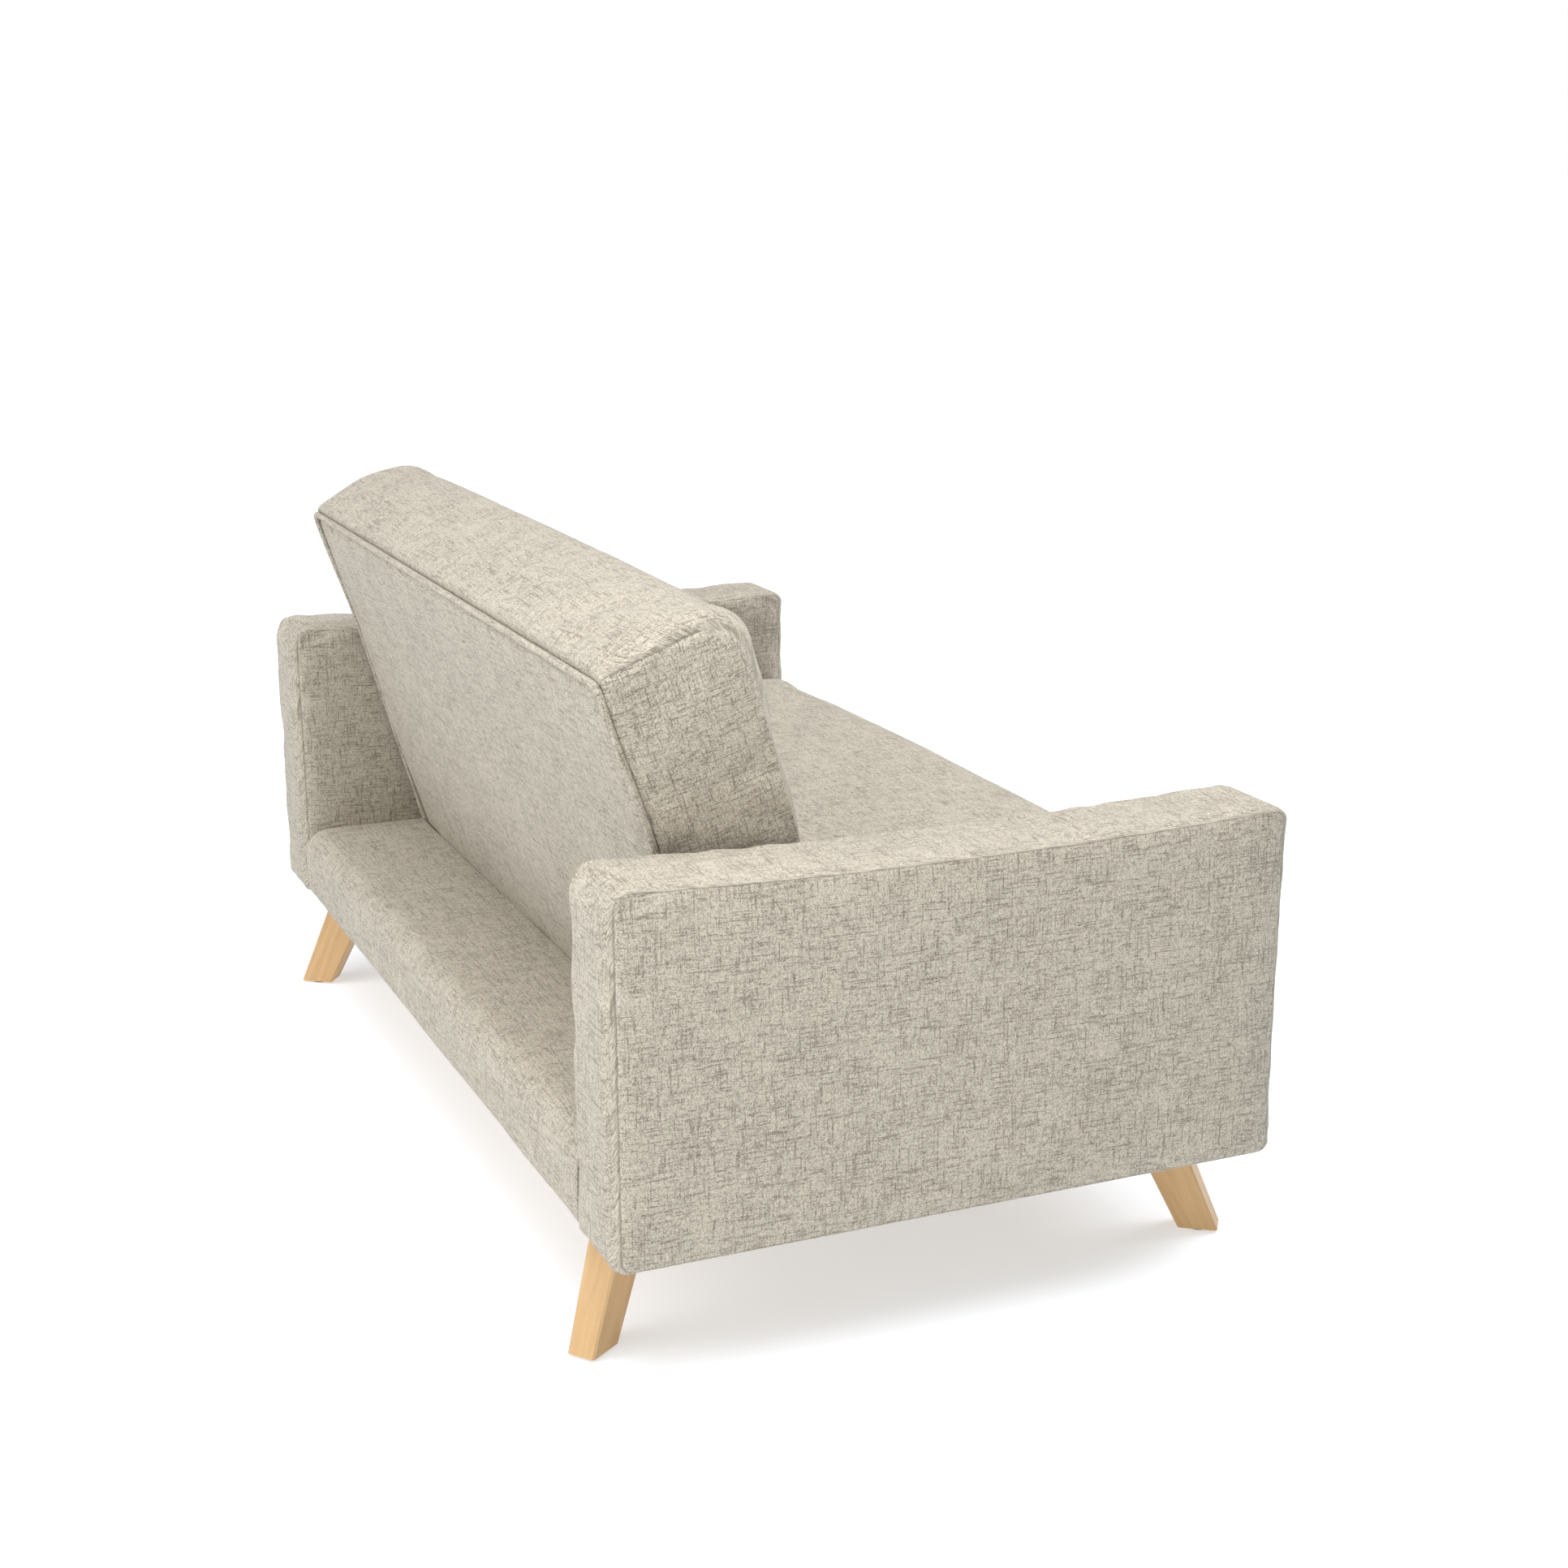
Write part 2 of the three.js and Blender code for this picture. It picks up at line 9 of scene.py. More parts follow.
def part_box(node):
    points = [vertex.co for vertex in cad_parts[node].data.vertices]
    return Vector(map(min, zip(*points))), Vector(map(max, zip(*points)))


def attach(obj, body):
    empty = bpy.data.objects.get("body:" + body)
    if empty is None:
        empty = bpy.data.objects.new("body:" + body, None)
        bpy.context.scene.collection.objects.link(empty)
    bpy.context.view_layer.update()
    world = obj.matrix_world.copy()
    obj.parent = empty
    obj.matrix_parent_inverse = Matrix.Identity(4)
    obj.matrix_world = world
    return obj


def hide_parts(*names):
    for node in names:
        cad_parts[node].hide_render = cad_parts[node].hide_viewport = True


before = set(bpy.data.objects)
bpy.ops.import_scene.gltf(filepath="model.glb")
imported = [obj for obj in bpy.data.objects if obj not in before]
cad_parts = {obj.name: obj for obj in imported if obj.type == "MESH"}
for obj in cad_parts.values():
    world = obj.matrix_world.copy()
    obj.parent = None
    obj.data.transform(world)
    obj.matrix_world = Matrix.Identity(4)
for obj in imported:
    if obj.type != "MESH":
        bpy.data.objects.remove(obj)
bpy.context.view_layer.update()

SIDES = {"left": 1, "right": -1}

# ---- Upholstery dimensions ----
TINY = 0.0004  # clearance between pieces that touch
GAP = Vector((TINY, TINY, TINY))

ARM_ROLL = 0.018  # width of the soft roll between an arm's band and its side panels
ARM_BAND_CROWN = 0.008  # how far the band's middle stands out past its seams, front and rear
ARM_TOP_CROWN = 0.0018
ARM_REAR_RADIUS = 0.046  # of the band's upper corners
ARM_FRONT_RADIUS = 0.022
ARM_PANEL_RADIUS = 0.014
ARM_FOOT_RADIUS = 0.015
ARM_SAG = 0.010  # the top dips this much between its ends
ARM_SAG_SPAN = 0.92  # share of the arm's depth over which it does
ARM_PANEL_LIFT = 0.004  # side panels stand this far out past their seams
ARM_HEM = 0.004  # the lowest strip of an arm's cover, fixed under the arm

BLOCK_ROLL = 0.050  # the same roll on the seat's and back's ends
SEAT_CROWN = 0.006
SEAT_RISE = 0.0135  # how far the middle of the seat's front stands above its pad
SEAT_FALL = 0.018  # how far the seat's top falls from its middle to its ends
SEAT_REAR_DROP = 0.007  # how much lower the top's rear edge is
SEAT_RADII = (0.003, 0.030, 0.026)  # foot, rear edge of the top, front edge of the top
SEAT_HEM = 0.030
BACK_CROWN = 0.014
BACK_TOP_CROWN = 0.0075  # how far the back's top rises from its ends to its middle
BACK_TOP_SPAN = 0.45
BACK_FLARE = 0.009  # how far the back's upper rear edge stands out past its rear plane
BACK_FLARE_FROM = 0.34  # height up the back at which that starts; below it the ledge is close
BACK_FLARE_SPAN = 0.19
BACK_FLARE_DEPTH = 0.060  # the flare starts this far in front of the rear plane
BACK_FLARE_FADE = 0.050  # and is whole after this much more depth
BACK_FOOT_RADII = (0.040, 0.006)  # front and rear
BACK_RIDGE = (0.40, 0.1)  # where the top's ridge lies, as a share of depth; added at a seam
BACK_UPPER = {  # height over the pad's top, what a seam takes off it; radius, what a seam adds
    "rear": (-0.018, 0.009, 0.014, -0.008),
    "ridge": (0.003, 0.018, 0.120, 0.0),
    "front": (-0.002, 0.005, 0.045, 0.007),
}
BACK_STITCH_FROM = 0.035  # stitching nearer the back's front than this lies out of sight, and its painted seam shade is left off there too
BACK_STITCH_FADE = 0.025
BACK_HEM = 0.006

SEAM_DIP = 0.0022
SEAM_CREASE = 0.75
STITCH_OFFSET = 0.0085
STITCH_DIP = 0.0012

FOLDED_GAP = 0.0004  # how far rear panel and ledge may stand past the planes that meet when folded
WELT_RADIUS = 0.0050
WELT_GAP = 0.0054  # from the edge of the rear panel to the middle of its piping
WELT_STEP = 0.008
WELT_LUMPS = 0.06
WELT_LUMP_SCALE = 45
PANEL_CORNER = 0.012
PANEL_SIDE_INSET = 0.004  # from the pad's edges to the rear panel's fabric
PANEL_TOP_INSET = 0.033
PANEL_FOOT_DROP = 0.008  # how far that fabric hangs below the pad
PANEL_FRONT_SHARE = 0.998
PANEL_EDGE = (0.0012, 0.0025)  # depths of the rings round its edge
PANEL_HEM = 0.0045
PANEL_STITCH_AND_SHADE = 0.9  # how dark its edge's stitching is, with painted shade in the groove by the welt

LEDGE_RADII = (0.036, 0.012, 0.002)  # rear edge of the top, foot, inner corner
LEDGE_DRAWN = (0.0012, 0.004, 0.0010)  # drawn in at an end, over this reach; and over SETTLE_REACH
LEDGE_TURN_IN = 0.004
LEDGE_TOP_HEM = 0.02
LEDGE_REAR_HEM = 0.008
APRON_RADII = (0.012, 0.007)  # foot and top
APRON_DRAWN = (0.002, 0.006, 0.0015)
APRON_TURN_IN = 0.003
SETTLE_REACH = 0.25
END_HEM = 0.004  # width of the strip that is fixed at the ledge's ends and the apron's edges

PADDING = {  # most that simulation adds, its pressure, height and size of the ripples; how full
    "arm": (0.0022, 1.2, 0.0006, 0.20, 0.85),
    "seat": (0.007, 1.2, 0.0018, 0.26, 0.8),
    "back": (0.006, 1.2, 0.0012, 0.28, 0.8),
    "panel": (0.0020, 0.8, 0.0009, 0.16, 0.5),
    "ledge": (0.0015, 0.6, 0.0010, 0.20, 0.7),
    "apron": (0.0015, 0.6, 0.0008, 0.18, 0.6),
}
POCKET_REACH = 0.05  # how far a pocket's cutter stands out of its open side
WEAVE_SHIFT = {  # moves the weave along each end of a piece, so that no two show the same threads
    "band": (0.37, 1.13),
    "panel": (2.1, 2.9),
    "slab": (0.6, 0.9),
}

COARSE = 0.015  # usual side of a quad before subdivision


# ---- Outlines ----
def unit(vector):
    return vector / np.linalg.norm(vector)


def rounded(corners, steps=12):
    """Closed polyline through (a, b, radius) corners, and the index of each corner's middle."""
    points, middles = [], []
    for i, (a, b, radius) in enumerate(corners):
        corner = np.array([a, b])
        to_last = unit(np.array(corners[i - 1][:2]) - corner)
        to_next = unit(np.array(corners[(i + 1) % len(corners)][:2]) - corner)
        if radius == 0:
            middles.append(len(points))
            points.append(corner)
            continue
        half = math.acos(np.clip(to_last @ to_next, -1, 1)) / 2
        centre = corner + unit(to_last + to_next) * radius / math.sin(half)
        start = corner + to_last * radius / math.tan(half) - centre
        end = corner + to_next * radius / math.tan(half) - centre
        first = math.atan2(start[1], start[0])
        turn = (math.atan2(end[1], end[0]) - first + math.pi) % (2 * math.pi) - math.pi
        middles.append(len(points) + steps // 2)
        for k in range(steps + 1):
            angle = first + turn * k / steps
            points.append(centre + radius * np.array([math.cos(angle), math.sin(angle)]))
    return np.array(points), middles


def sides_of(corners, lattice=(0, 1, 2, 3)):
    """The outline's four sides as polylines, cut at the middles of the four lattice corners."""
    points, middles = rounded(corners)
    loop = np.concatenate([points, points])
    cut = [middles[i] for i in lattice]
    found = []
    for start, end in zip(cut, cut[1:] + cut[:1]):
        found.append(loop[start:(end if end > start else end + len(points)) + 1])
    return found


def length_of(line):
    return np.linalg.norm(np.diff(line, axis=0), axis=1).sum()


def along(line, fractions):
    """Points at these shares of a polyline's length."""
    reach = np.concatenate([[0], np.cumsum(np.linalg.norm(np.diff(line, axis=0), axis=1))])
    at = np.asarray(fractions) * reach[-1]
    return np.stack([np.interp(at, reach, line[:, k]) for k in (0, 1)], 1)


def rectangle(low_a, high_a, low_b, high_b, radius=0):
    return [(low_a, low_b, radius), (high_a, low_b, radius),
            (high_a, high_b, radius), (low_a, high_b, radius)]


def ring_of(sides, across, up):
    """One ring of lattice points along four side polylines, from where the first one starts."""
    low, far, high, near = sides
    return np.concatenate([
        along(low, across)[:-1],
        along(far, up)[:-1],
        along(high, 1 - across[::-1])[:-1],
        along(near, 1 - up[::-1])[:-1],
    ])


def graded(length, first=0.003, growth=1.35, longest=COARSE):
    """Shares of a length, closely spaced at both ends and evenly in between."""
    ends, step = [0.0], first
    while ends[-1] + step < length / 2 - longest / 2 and step < longest:
        ends.append(ends[-1] + step)
        step *= growth
    middle = length - 2 * ends[-1]
    count = max(1, round(middle / longest))
    inner = [ends[-1] + middle * k / count for k in range(1, count)]
    return np.array(ends + inner + [length - e for e in reversed(ends)]) / length


def roll(distance, width):
    """Quarter ellipse: 1 at a seam, falling to 0 at the roll's width from it."""
    share = np.clip(1 - distance / width, 0, 1)
    return 1 - np.sqrt(1 - share * share)


# ---- Sewn shells ----
def linked(name, data):
    obj = bpy.data.objects.new(name, data)
    bpy.context.scene.collection.objects.link(obj)
    return obj


def face_out(data):
    """Turns a closed mesh's faces outwards and shades them smooth."""
    work = bmesh.new()
    work.from_mesh(data)
    bmesh.ops.recalc_face_normals(work, faces=work.faces)
    work.to_mesh(data)
    work.free()
    data.shade_smooth()


class Shell:
    """A closed quad mesh: rings lofted along h between outlines in (a, b), with a cap at each end."""

    def __init__(self, across, up):
        self.across, self.up = across, up
        self.points, self.faces, self.weave = [], [], []
        self.seams = []
        self.marks = {}

    def add(self, h, ring):
        first = len(self.points)
        self.points += [(h, a, b) for a, b in ring]
        return list(range(first, len(self.points)))

    def strip(self, one, two, weave_one, weave_two):
        """Quads between two rings. The weave arrays hold one more entry than the rings."""
        count = len(one)
        for k in range(count):
            n = (k + 1) % count
            self.faces.append((one[k], one[n], two[n], two[k]))
            self.weave.append((weave_one[k], weave_one[k + 1], weave_two[k + 1], weave_two[k]))

    def fill(self, border, h, shift):
        """Closes a ring with a grid of quads that the ring's four sides span."""
        columns, rows = len(self.across), len(self.up)
        grid = -np.ones((columns, rows), int)
        place = {i: np.array(self.points[i][1:]) for i in border}
        far, high, near = columns - 1, columns + rows - 2, 2 * columns + rows - 3
        grid[:, 0] = border[:columns]
        grid[-1, :] = border[far:far + rows]
        grid[:, -1] = border[high:high + columns][::-1]
        grid[0, :] = (border[near:] + border[:1])[::-1]
        for i in range(1, columns - 1):
            for k in range(1, rows - 1):
                s, t = self.across[i], self.up[k]
                low, top = place[grid[i, 0]], place[grid[i, -1]]
                left, right = place[grid[0, k]], place[grid[-1, k]]
                flat = ((1 - s) * (1 - t) * place[grid[0, 0]] + s * (1 - t) * place[grid[-1, 0]]
                        + (1 - s) * t * place[grid[0, -1]] + s * t * place[grid[-1, -1]])
                a, b = (1 - t) * low + t * top + (1 - s) * left + s * right - flat
                grid[i, k] = len(self.points)
                self.points.append((h, a, b))
        for i in range(columns - 1):
            for k in range(rows - 1):
                quad = (grid[i, k], grid[i + 1, k], grid[i + 1, k + 1], grid[i, k + 1])
                self.faces.append(quad)
                self.weave.append([self.flat_weave(j, shift) for j in quad])

    def flat_weave(self, index, shift):
        _, a, b = self.points[index]
        return (a + shift, b)

    def cap(self, seam, h, sign, rises, reach, inner, shift):
        """A panel inside a seam ring: rings at (distance, rise) towards a sharp inner rectangle."""
        target = ring_of(sides_of(rectangle(*inner)), self.across, self.up)
        outer = np.array([self.points[i][1:] for i in seam])
        last = seam
        for distance, rise in rises:
            share = distance / reach
            here = self.add(h + sign * rise, outer + (target - outer) * share)
            self.strip(last, here, [self.flat_weave(i, shift) for i in last + last[:1]],
                       [self.flat_weave(i, shift) for i in here + here[:1]])
            last = here
        self.fill(last, h + sign * rises[-1][1], shift)

    def loft(self, stations):
        """Rings at (h, outline ring) stations. Returns the rings."""
        rings, last = [], None
        for h, outline in stations:
            here = self.add(h, outline)
            steps = np.linalg.norm(np.roll(outline, -1, 0) - outline, axis=1)
            reach = np.concatenate([[0], np.cumsum(steps)])
            weave = [(h, u) for u in reach]
            if last is not None:
                self.strip(last, here, last_weave, weave)
            last, last_weave = here, weave
            rings.append(here)
        return rings

    def mark_stitch_and_shade(self, ring, strength, hidden=None):
        """Marks a ring as a line of dark stitching and painted seam shade for the fabric's material.
        """
        for i in ring:
            a = self.points[i][1]
            self.marks[i] = strength * (1 - hidden(a) if hidden else 1)

    def mesh(self, name, place, matrix=Matrix.Identity(4)):
        """The shell as an object: place turns an (n, 3) array of h, a, b into local x, y, z."""
        data = bpy.data.meshes.new(name)
        where = place(np.array(self.points, float))
        data.from_pydata([tuple(p) for p in where], [], [tuple(map(int, f)) for f in self.faces])
        layer = data.uv_layers.new(name="weave")
        layer.data.foreach_set("uv", np.array(self.weave, float).ravel())
        # per point: dark stitching and painted shade in the seams
        stitch_and_shade = data.attributes.new("stitch_and_shade", "FLOAT", "POINT")
        stitch_and_shade.data.foreach_set("value", [self.marks.get(i, 0.0) for i in range(len(self.points))])
        ends = np.zeros(2 * len(data.edges), int)
        data.edges.foreach_get("vertices", ends)
        on_seam = np.isin(ends.reshape(-1, 2), self.seams).all(1)
        crease = data.attributes.new("crease_edge", "FLOAT", "EDGE")
        crease.data.foreach_set("value", on_seam * SEAM_CREASE)
        data.transform(matrix)
        face_out(data)
        return linked(name, data)


# Rings of the end panels and of the rear panel as (distance from the seam, rise), and the first
# rings of a band as distances from its seam.
PANEL_RINGS = [(0.0018, 0.0016), (0.0045, 0.0030), (0.0085, 0.0037), (0.015, 0.0040),
               (0.025, 0.0040), (0.038, 0.0040), (0.052, 0.0040)]
REAR_PANEL_RINGS = [(0.0012, 0.0009), (0.003, 0.0017), (0.006, 0.0026), (0.012, 0.0036),
                    (0.022, 0.0044), (0.036, 0.0050)]
PANEL_REACH = PANEL_RINGS[-1][0]
BAND_STEPS = [0.0, 0.0018, 0.0045, 0.0068, STITCH_OFFSET, 0.0102, 0.0125, 0.017, 0.024, 0.033]
BAND_STRETCH = 1.4  # rings past those lie about this many times further apart than COARSE
SEAM_STITCH_AND_SHADE = 1.0  # how dark the stitching and the painted shade in the seam are at a seam, and beside it
STITCH_LINE_AND_SHADE = 0.5
SEAM_WIDTH = 0.0016
STITCH_WIDTH = 0.0014


def band_distances(half):
    """Distances from the seam to the middle of a band of this half width."""
    rest = half - BAND_STEPS[-1]
    count = max(1, round(rest / (COARSE * BAND_STRETCH)))
    return BAND_STEPS + [BAND_STEPS[-1] + rest * (k + 1) / count for k in range(count)]


def dip_at(distance):
    """How far the band is drawn in at the seam and at the stitch line beside it."""
    at_seam = SEAM_DIP * math.exp(-((distance / SEAM_WIDTH) ** 2))
    at_stitch = STITCH_DIP * math.exp(-(((distance - STITCH_OFFSET) / STITCH_WIDTH) ** 2))
    return at_seam + at_stitch


def panelled(name, half, outline_at, inner, place, matrix=Matrix.Identity(4),
             lattice=(0, 1, 2, 3), hidden=None):
    """A band between two seamed end panels.

    outline_at(distance) gives the corners of the outline at a distance from the seam, half is the
    seams' distance from the middle, and hidden(a) is 1 where the stitching and its painted seam shade
    are out of sight.
    Returns the object and the points on its seams.
    """
    middle = sides_of(outline_at(half), lattice)
    shell = Shell(*[graded(length_of(side)) for side in middle[:2]])
    steps = band_distances(half)
    stations = []
    for sign in (-1, 1):
        order = steps if sign < 0 else list(reversed(steps))[1:]
        for distance in order:
            sides = sides_of(outline_at(distance), lattice)
            stations.append((sign * (half - distance), ring_of(sides, shell.across, shell.up)))
    rings = shell.loft(stations)
    shift = WEAVE_SHIFT["band"]
    shell.cap(rings[0], -half, -1, PANEL_RINGS, PANEL_REACH, inner, shift[0])
    shell.cap(rings[-1], half, 1, PANEL_RINGS, PANEL_REACH, inner, shift[1])
    shell.seams = rings[0] + rings[-1]
    stitched = BAND_STEPS.index(STITCH_OFFSET)
    # seam and stitch-line rings: dark stitching with painted shade in the seam
    for first, strength in ((0, SEAM_STITCH_AND_SHADE), (stitched, STITCH_LINE_AND_SHADE)):
        shell.mark_stitch_and_shade(rings[first], strength, hidden)
        shell.mark_stitch_and_shade(rings[-1 - first], strength, hidden)
    return shell.mesh(name, place, matrix), set(shell.seams)


def inset(corners, amounts):
    """Moves a four-sided outline's corners in: amounts are for low a, high a, low b and high b."""
    low_a, high_a, low_b, high_b = amounts
    middle_a = sum(c[0] for c in corners) / len(corners)
    middle_b = sum(c[1] for c in corners) / len(corners)
    moved = []
    for a, b, radius in corners:
        a += low_a if a < middle_a else -high_a
        b += low_b if b < middle_b else -high_b
        moved.append((a, b, radius))
    return moved


# ---- Simulation and softening ----
SIM_FRAMES = 14
SIM_SLACK = 0.012  # share by which the fabric is cut larger than the shape it starts from
SEED_STEP = (3.7, 1.9, 5.3)
POCKET_SHARP = math.radians(60)


def points_of(mesh):
    found = np.zeros(len(mesh.vertices) * 3)
    mesh.vertices.foreach_get("co", found)
    return found.reshape(-1, 3)


def move_points(obj, points):
    obj.data.vertices.foreach_set("co", points.ravel())
    obj.data.update()


def inflate(obj, pinned, limit, pressure):
    """Swells the fabric under pressure between pinned points, no point moving past limit."""
    scene = bpy.context.scene
    rest = points_of(obj.data)
    group = obj.vertex_groups.new(name="pinned")
    group.add([int(i) for i in pinned], 1.0, "REPLACE")
    cloth = obj.modifiers.new("cloth", "CLOTH")
    settings = cloth.settings
    settings.quality = 4
    settings.mass = 0.25
    settings.tension_stiffness = settings.compression_stiffness = 25
    settings.shear_stiffness = 12
    settings.bending_stiffness = 1.5
    settings.shrink_min = -SIM_SLACK
    settings.use_pressure = True
    settings.uniform_pressure_force = pressure
    settings.vertex_group_mass = group.name
    settings.effector_weights.gravity = 0
    cloth.collision_settings.use_collision = False
    cloth.point_cache.frame_start = 1
    cloth.point_cache.frame_end = SIM_FRAMES
    for number in range(1, SIM_FRAMES + 1):
        scene.frame_set(number)
    shaped = obj.evaluated_get(bpy.context.evaluated_depsgraph_get())
    moved = points_of(shaped.data) - rest
    obj.modifiers.remove(cloth)
    obj.vertex_groups.remove(group)
    scene.frame_set(1)
    length = np.linalg.norm(moved, axis=1, keepdims=True)
    share = limit * np.tanh(length / limit) / np.maximum(length, 1e-9)
    move_points(obj, rest + moved * share)


def ripple(obj, height, size, seed, held):
    """Shallow undulations of the padding: noise along the normals, none at held points."""
    rest = points_of(obj.data)
    normals = np.zeros(len(rest) * 3)
    obj.data.vertices.foreach_get("normal", normals)
    normals = normals.reshape(-1, 3)
    offset = Vector([seed * step for step in SEED_STEP])
    amount = np.array([noise.noise(Vector(p) / size + offset) for p in rest]) * height
    amount[list(held)] = 0
    move_points(obj, rest + normals * amount[:, None])


def pad(obj, kind, pinned, seed):
    """Swells and ripples a cover between its pinned points, by its row in PADDING."""
    swell, pressure, height, size, _ = PADDING[kind]
    inflate(obj, pinned, swell, pressure)
    ripple(obj, height, size, seed, pinned)


def press_flat(obj, matrix, axis, limit_at):
    """Keeps a cover below limit_at(points) along one of the axes of a matrix."""
    inside = np.array(matrix.inverted())
    outside = np.array(matrix)
    local = points_of(obj.data) @ inside[:3, :3].T + inside[:3, 3]
    local[:, axis] = np.minimum(local[:, axis], limit_at(local))
    move_points(obj, local @ outside[:3, :3].T + outside[:3, 3])


def subdivide(obj):
    smooth = obj.modifiers.new("subdivision", "SUBSURF")
    smooth.levels = 1
    smooth.render_levels = 1
    smooth.use_limit_surface = False


def bake_modifiers(obj):
    """Replaces the object's mesh with its evaluated one and clears its modifiers."""
    graph = bpy.context.evaluated_depsgraph_get()
    evaluated = obj.evaluated_get(graph)
    mesh = bpy.data.meshes.new_from_object(evaluated, preserve_all_data_layers=True, depsgraph=graph)
    obj.modifiers.clear()
    obj.data = mesh
    mesh.name = obj.name


def refine(obj):
    """Adds one level of subdivision and keeps its result as the mesh."""
    subdivide(obj)
    bake_modifiers(obj)


def cutter(low, high, matrix):
    """A box, given by its corners in the matrix's own axes."""
    data = bpy.data.meshes.new("cutter")
    work = bmesh.new()
    bmesh.ops.create_cube(work, size=1.0)
    size = [h - l for l, h in zip(low, high)]
    middle = [(h + l) / 2 for l, h in zip(low, high)]
    work.transform(matrix @ Matrix.Translation(middle) @ Matrix.Diagonal((*size, 1.0)))
    work.to_mesh(data)
    work.free()
    return linked("cutter", data)


def carve(obj, low, high, matrix=Matrix.Identity(4)):
    """Cuts a box-shaped pocket, given in the matrix's own axes, out of a finished cover."""
    tool = cutter(low, high, matrix)
    cut = obj.modifiers.new("pocket", "BOOLEAN")
    cut.operation = "DIFFERENCE"
    cut.solver = "EXACT"
    cut.object = tool
    bake_modifiers(obj)
    bpy.data.objects.remove(tool)
    obj.data.set_sharp_from_angle(angle=POCKET_SHARP)


# ---- Shader nodes ----
class Nodes:
    """Builds one material's node tree."""

    def __init__(self, name):
        self.material = bpy.data.materials.new(name)
        self.material.use_nodes = True
        self.tree = self.material.node_tree
        self.tree.nodes.clear()

    def add(self, kind, inputs=None, **settings):
        node = self.tree.nodes.new(kind)
        for key, value in settings.items():
            setattr(node, key, value)
        for key, value in (inputs or {}).items():
            if isinstance(value, bpy.types.NodeSocket):
                self.tree.links.new(value, node.inputs[key])
            else:
                node.inputs[key].default_value = value
        return node

    def math(self, operation, *values):
        return self.add("ShaderNodeMath", dict(enumerate(values)), operation=operation).outputs[0]

    def centred(self, value, span):
        """Maps 0 to 1 onto a span with 0 in its middle."""
        return self.math("MULTIPLY_ADD", value, span, -span / 2)

    def vector(self, x=0.0, y=0.0, z=0.0):
        return self.add("ShaderNodeCombineXYZ", {0: x, 1: y, 2: z}).outputs[0]

    def mapping(self, vector, **settings):
        return self.add("ShaderNodeMapping", {"Vector": vector, **settings}).outputs[0]

    def noise(self, vector, scale=1.0, detail=2.0, rough=0.5, dimensions="3D", distortion=0.0):
        inputs = {"Vector": vector, "Scale": scale, "Detail": detail, "Roughness": rough,
                  "Distortion": distortion}
        return self.add("ShaderNodeTexNoise", inputs, noise_dimensions=dimensions).outputs[0]

    def smoothstep(self, value, low, high, to_low=0.0, to_high=1.0):
        inputs = {"Value": value, "From Min": low, "From Max": high, "To Min": to_low,
                  "To Max": to_high}
        return self.add("ShaderNodeMapRange", inputs, interpolation_type="SMOOTHSTEP").outputs[0]

    def mix(self, factor, one, two):
        inputs = {0: factor, 6: one, 7: two}
        return self.add("ShaderNodeMix", inputs, data_type="RGBA").outputs[2]

    def bump(self, height, distance, strength=1.0):
        inputs = {"Height": height, "Distance": distance, "Strength": strength}
        return self.add("ShaderNodeBump", inputs).outputs[0]

    def finish(self, **inputs):
        named = {key.replace("_", " "): value for key, value in inputs.items()}
        shader = self.add("ShaderNodeBsdfPrincipled", named)
        self.add("ShaderNodeOutputMaterial", {"Surface": shader.outputs[0]})
        return self.material


# ---- Materials ----
THREAD = 0.00125  # spacing of the upholstery's threads
SLUB = 0.013  # usual length of a dark stretch of thread
HEAVY_THREAD = 0.0017  # the same for the fewer, thicker yarns that show as lines
HEAVY_SLUB = 0.044
ROW_STEP = 1.737  # distance in the noise between neighbouring threads
FINE_DARK = (0.42, 0.78)  # noise values between which a thread turns dark
HEAVY_DARK = ((0.51, 0.75), (0.49, 0.73))  # along each panel, and across it
CLUSTER_SCALE = 15.0  # dark threads crowd together in clusters of this scale, by this much
CLUSTERING = 0.08
CROSSING_SHADE = 0.72  # how much thin threads, thick yarns, single crossings and areas darken
LINE_SHADE = 0.56
FLECK_SHADE = 0.86
TONE_SHADE = 0.12
TONE_SCALE = 4.0
SHADE_RANGE = (-0.58, 1.30)
# the seam mark: dark stitching together with painted shade in seam grooves
STITCH_AND_SHADE_RANGE = (0.35, 1.0)
STITCH_AND_SHADE_DEPTH = 0.50
WEAVE_DEPTH = 0.0004
WEAVE_BUMP = 0.30
OAT_LIGHT = (0.570, 0.522, 0.434, 1)
OAT_DARK = (0.175, 0.152, 0.118, 1)
# colour of the stitching and of the painted shade in seams and grooves
OAT_STITCH_AND_SHADE = (0.11, 0.097, 0.076, 1)


def yarns(n, own, other, spacing, length, seed, crowd, dark):
    """Dark stretches of the threads that run along one direction, 0 to 1."""
    number = n.math("FLOOR", n.math("DIVIDE", own, spacing))
    row = n.math("MULTIPLY_ADD", number, ROW_STEP, seed)
    yarn = n.noise(n.vector(row, n.math("DIVIDE", other, length)), 1.0, 2.0, 0.6, "2D")
    return n.smoothstep(n.math("ADD", yarn, crowd), *dark)


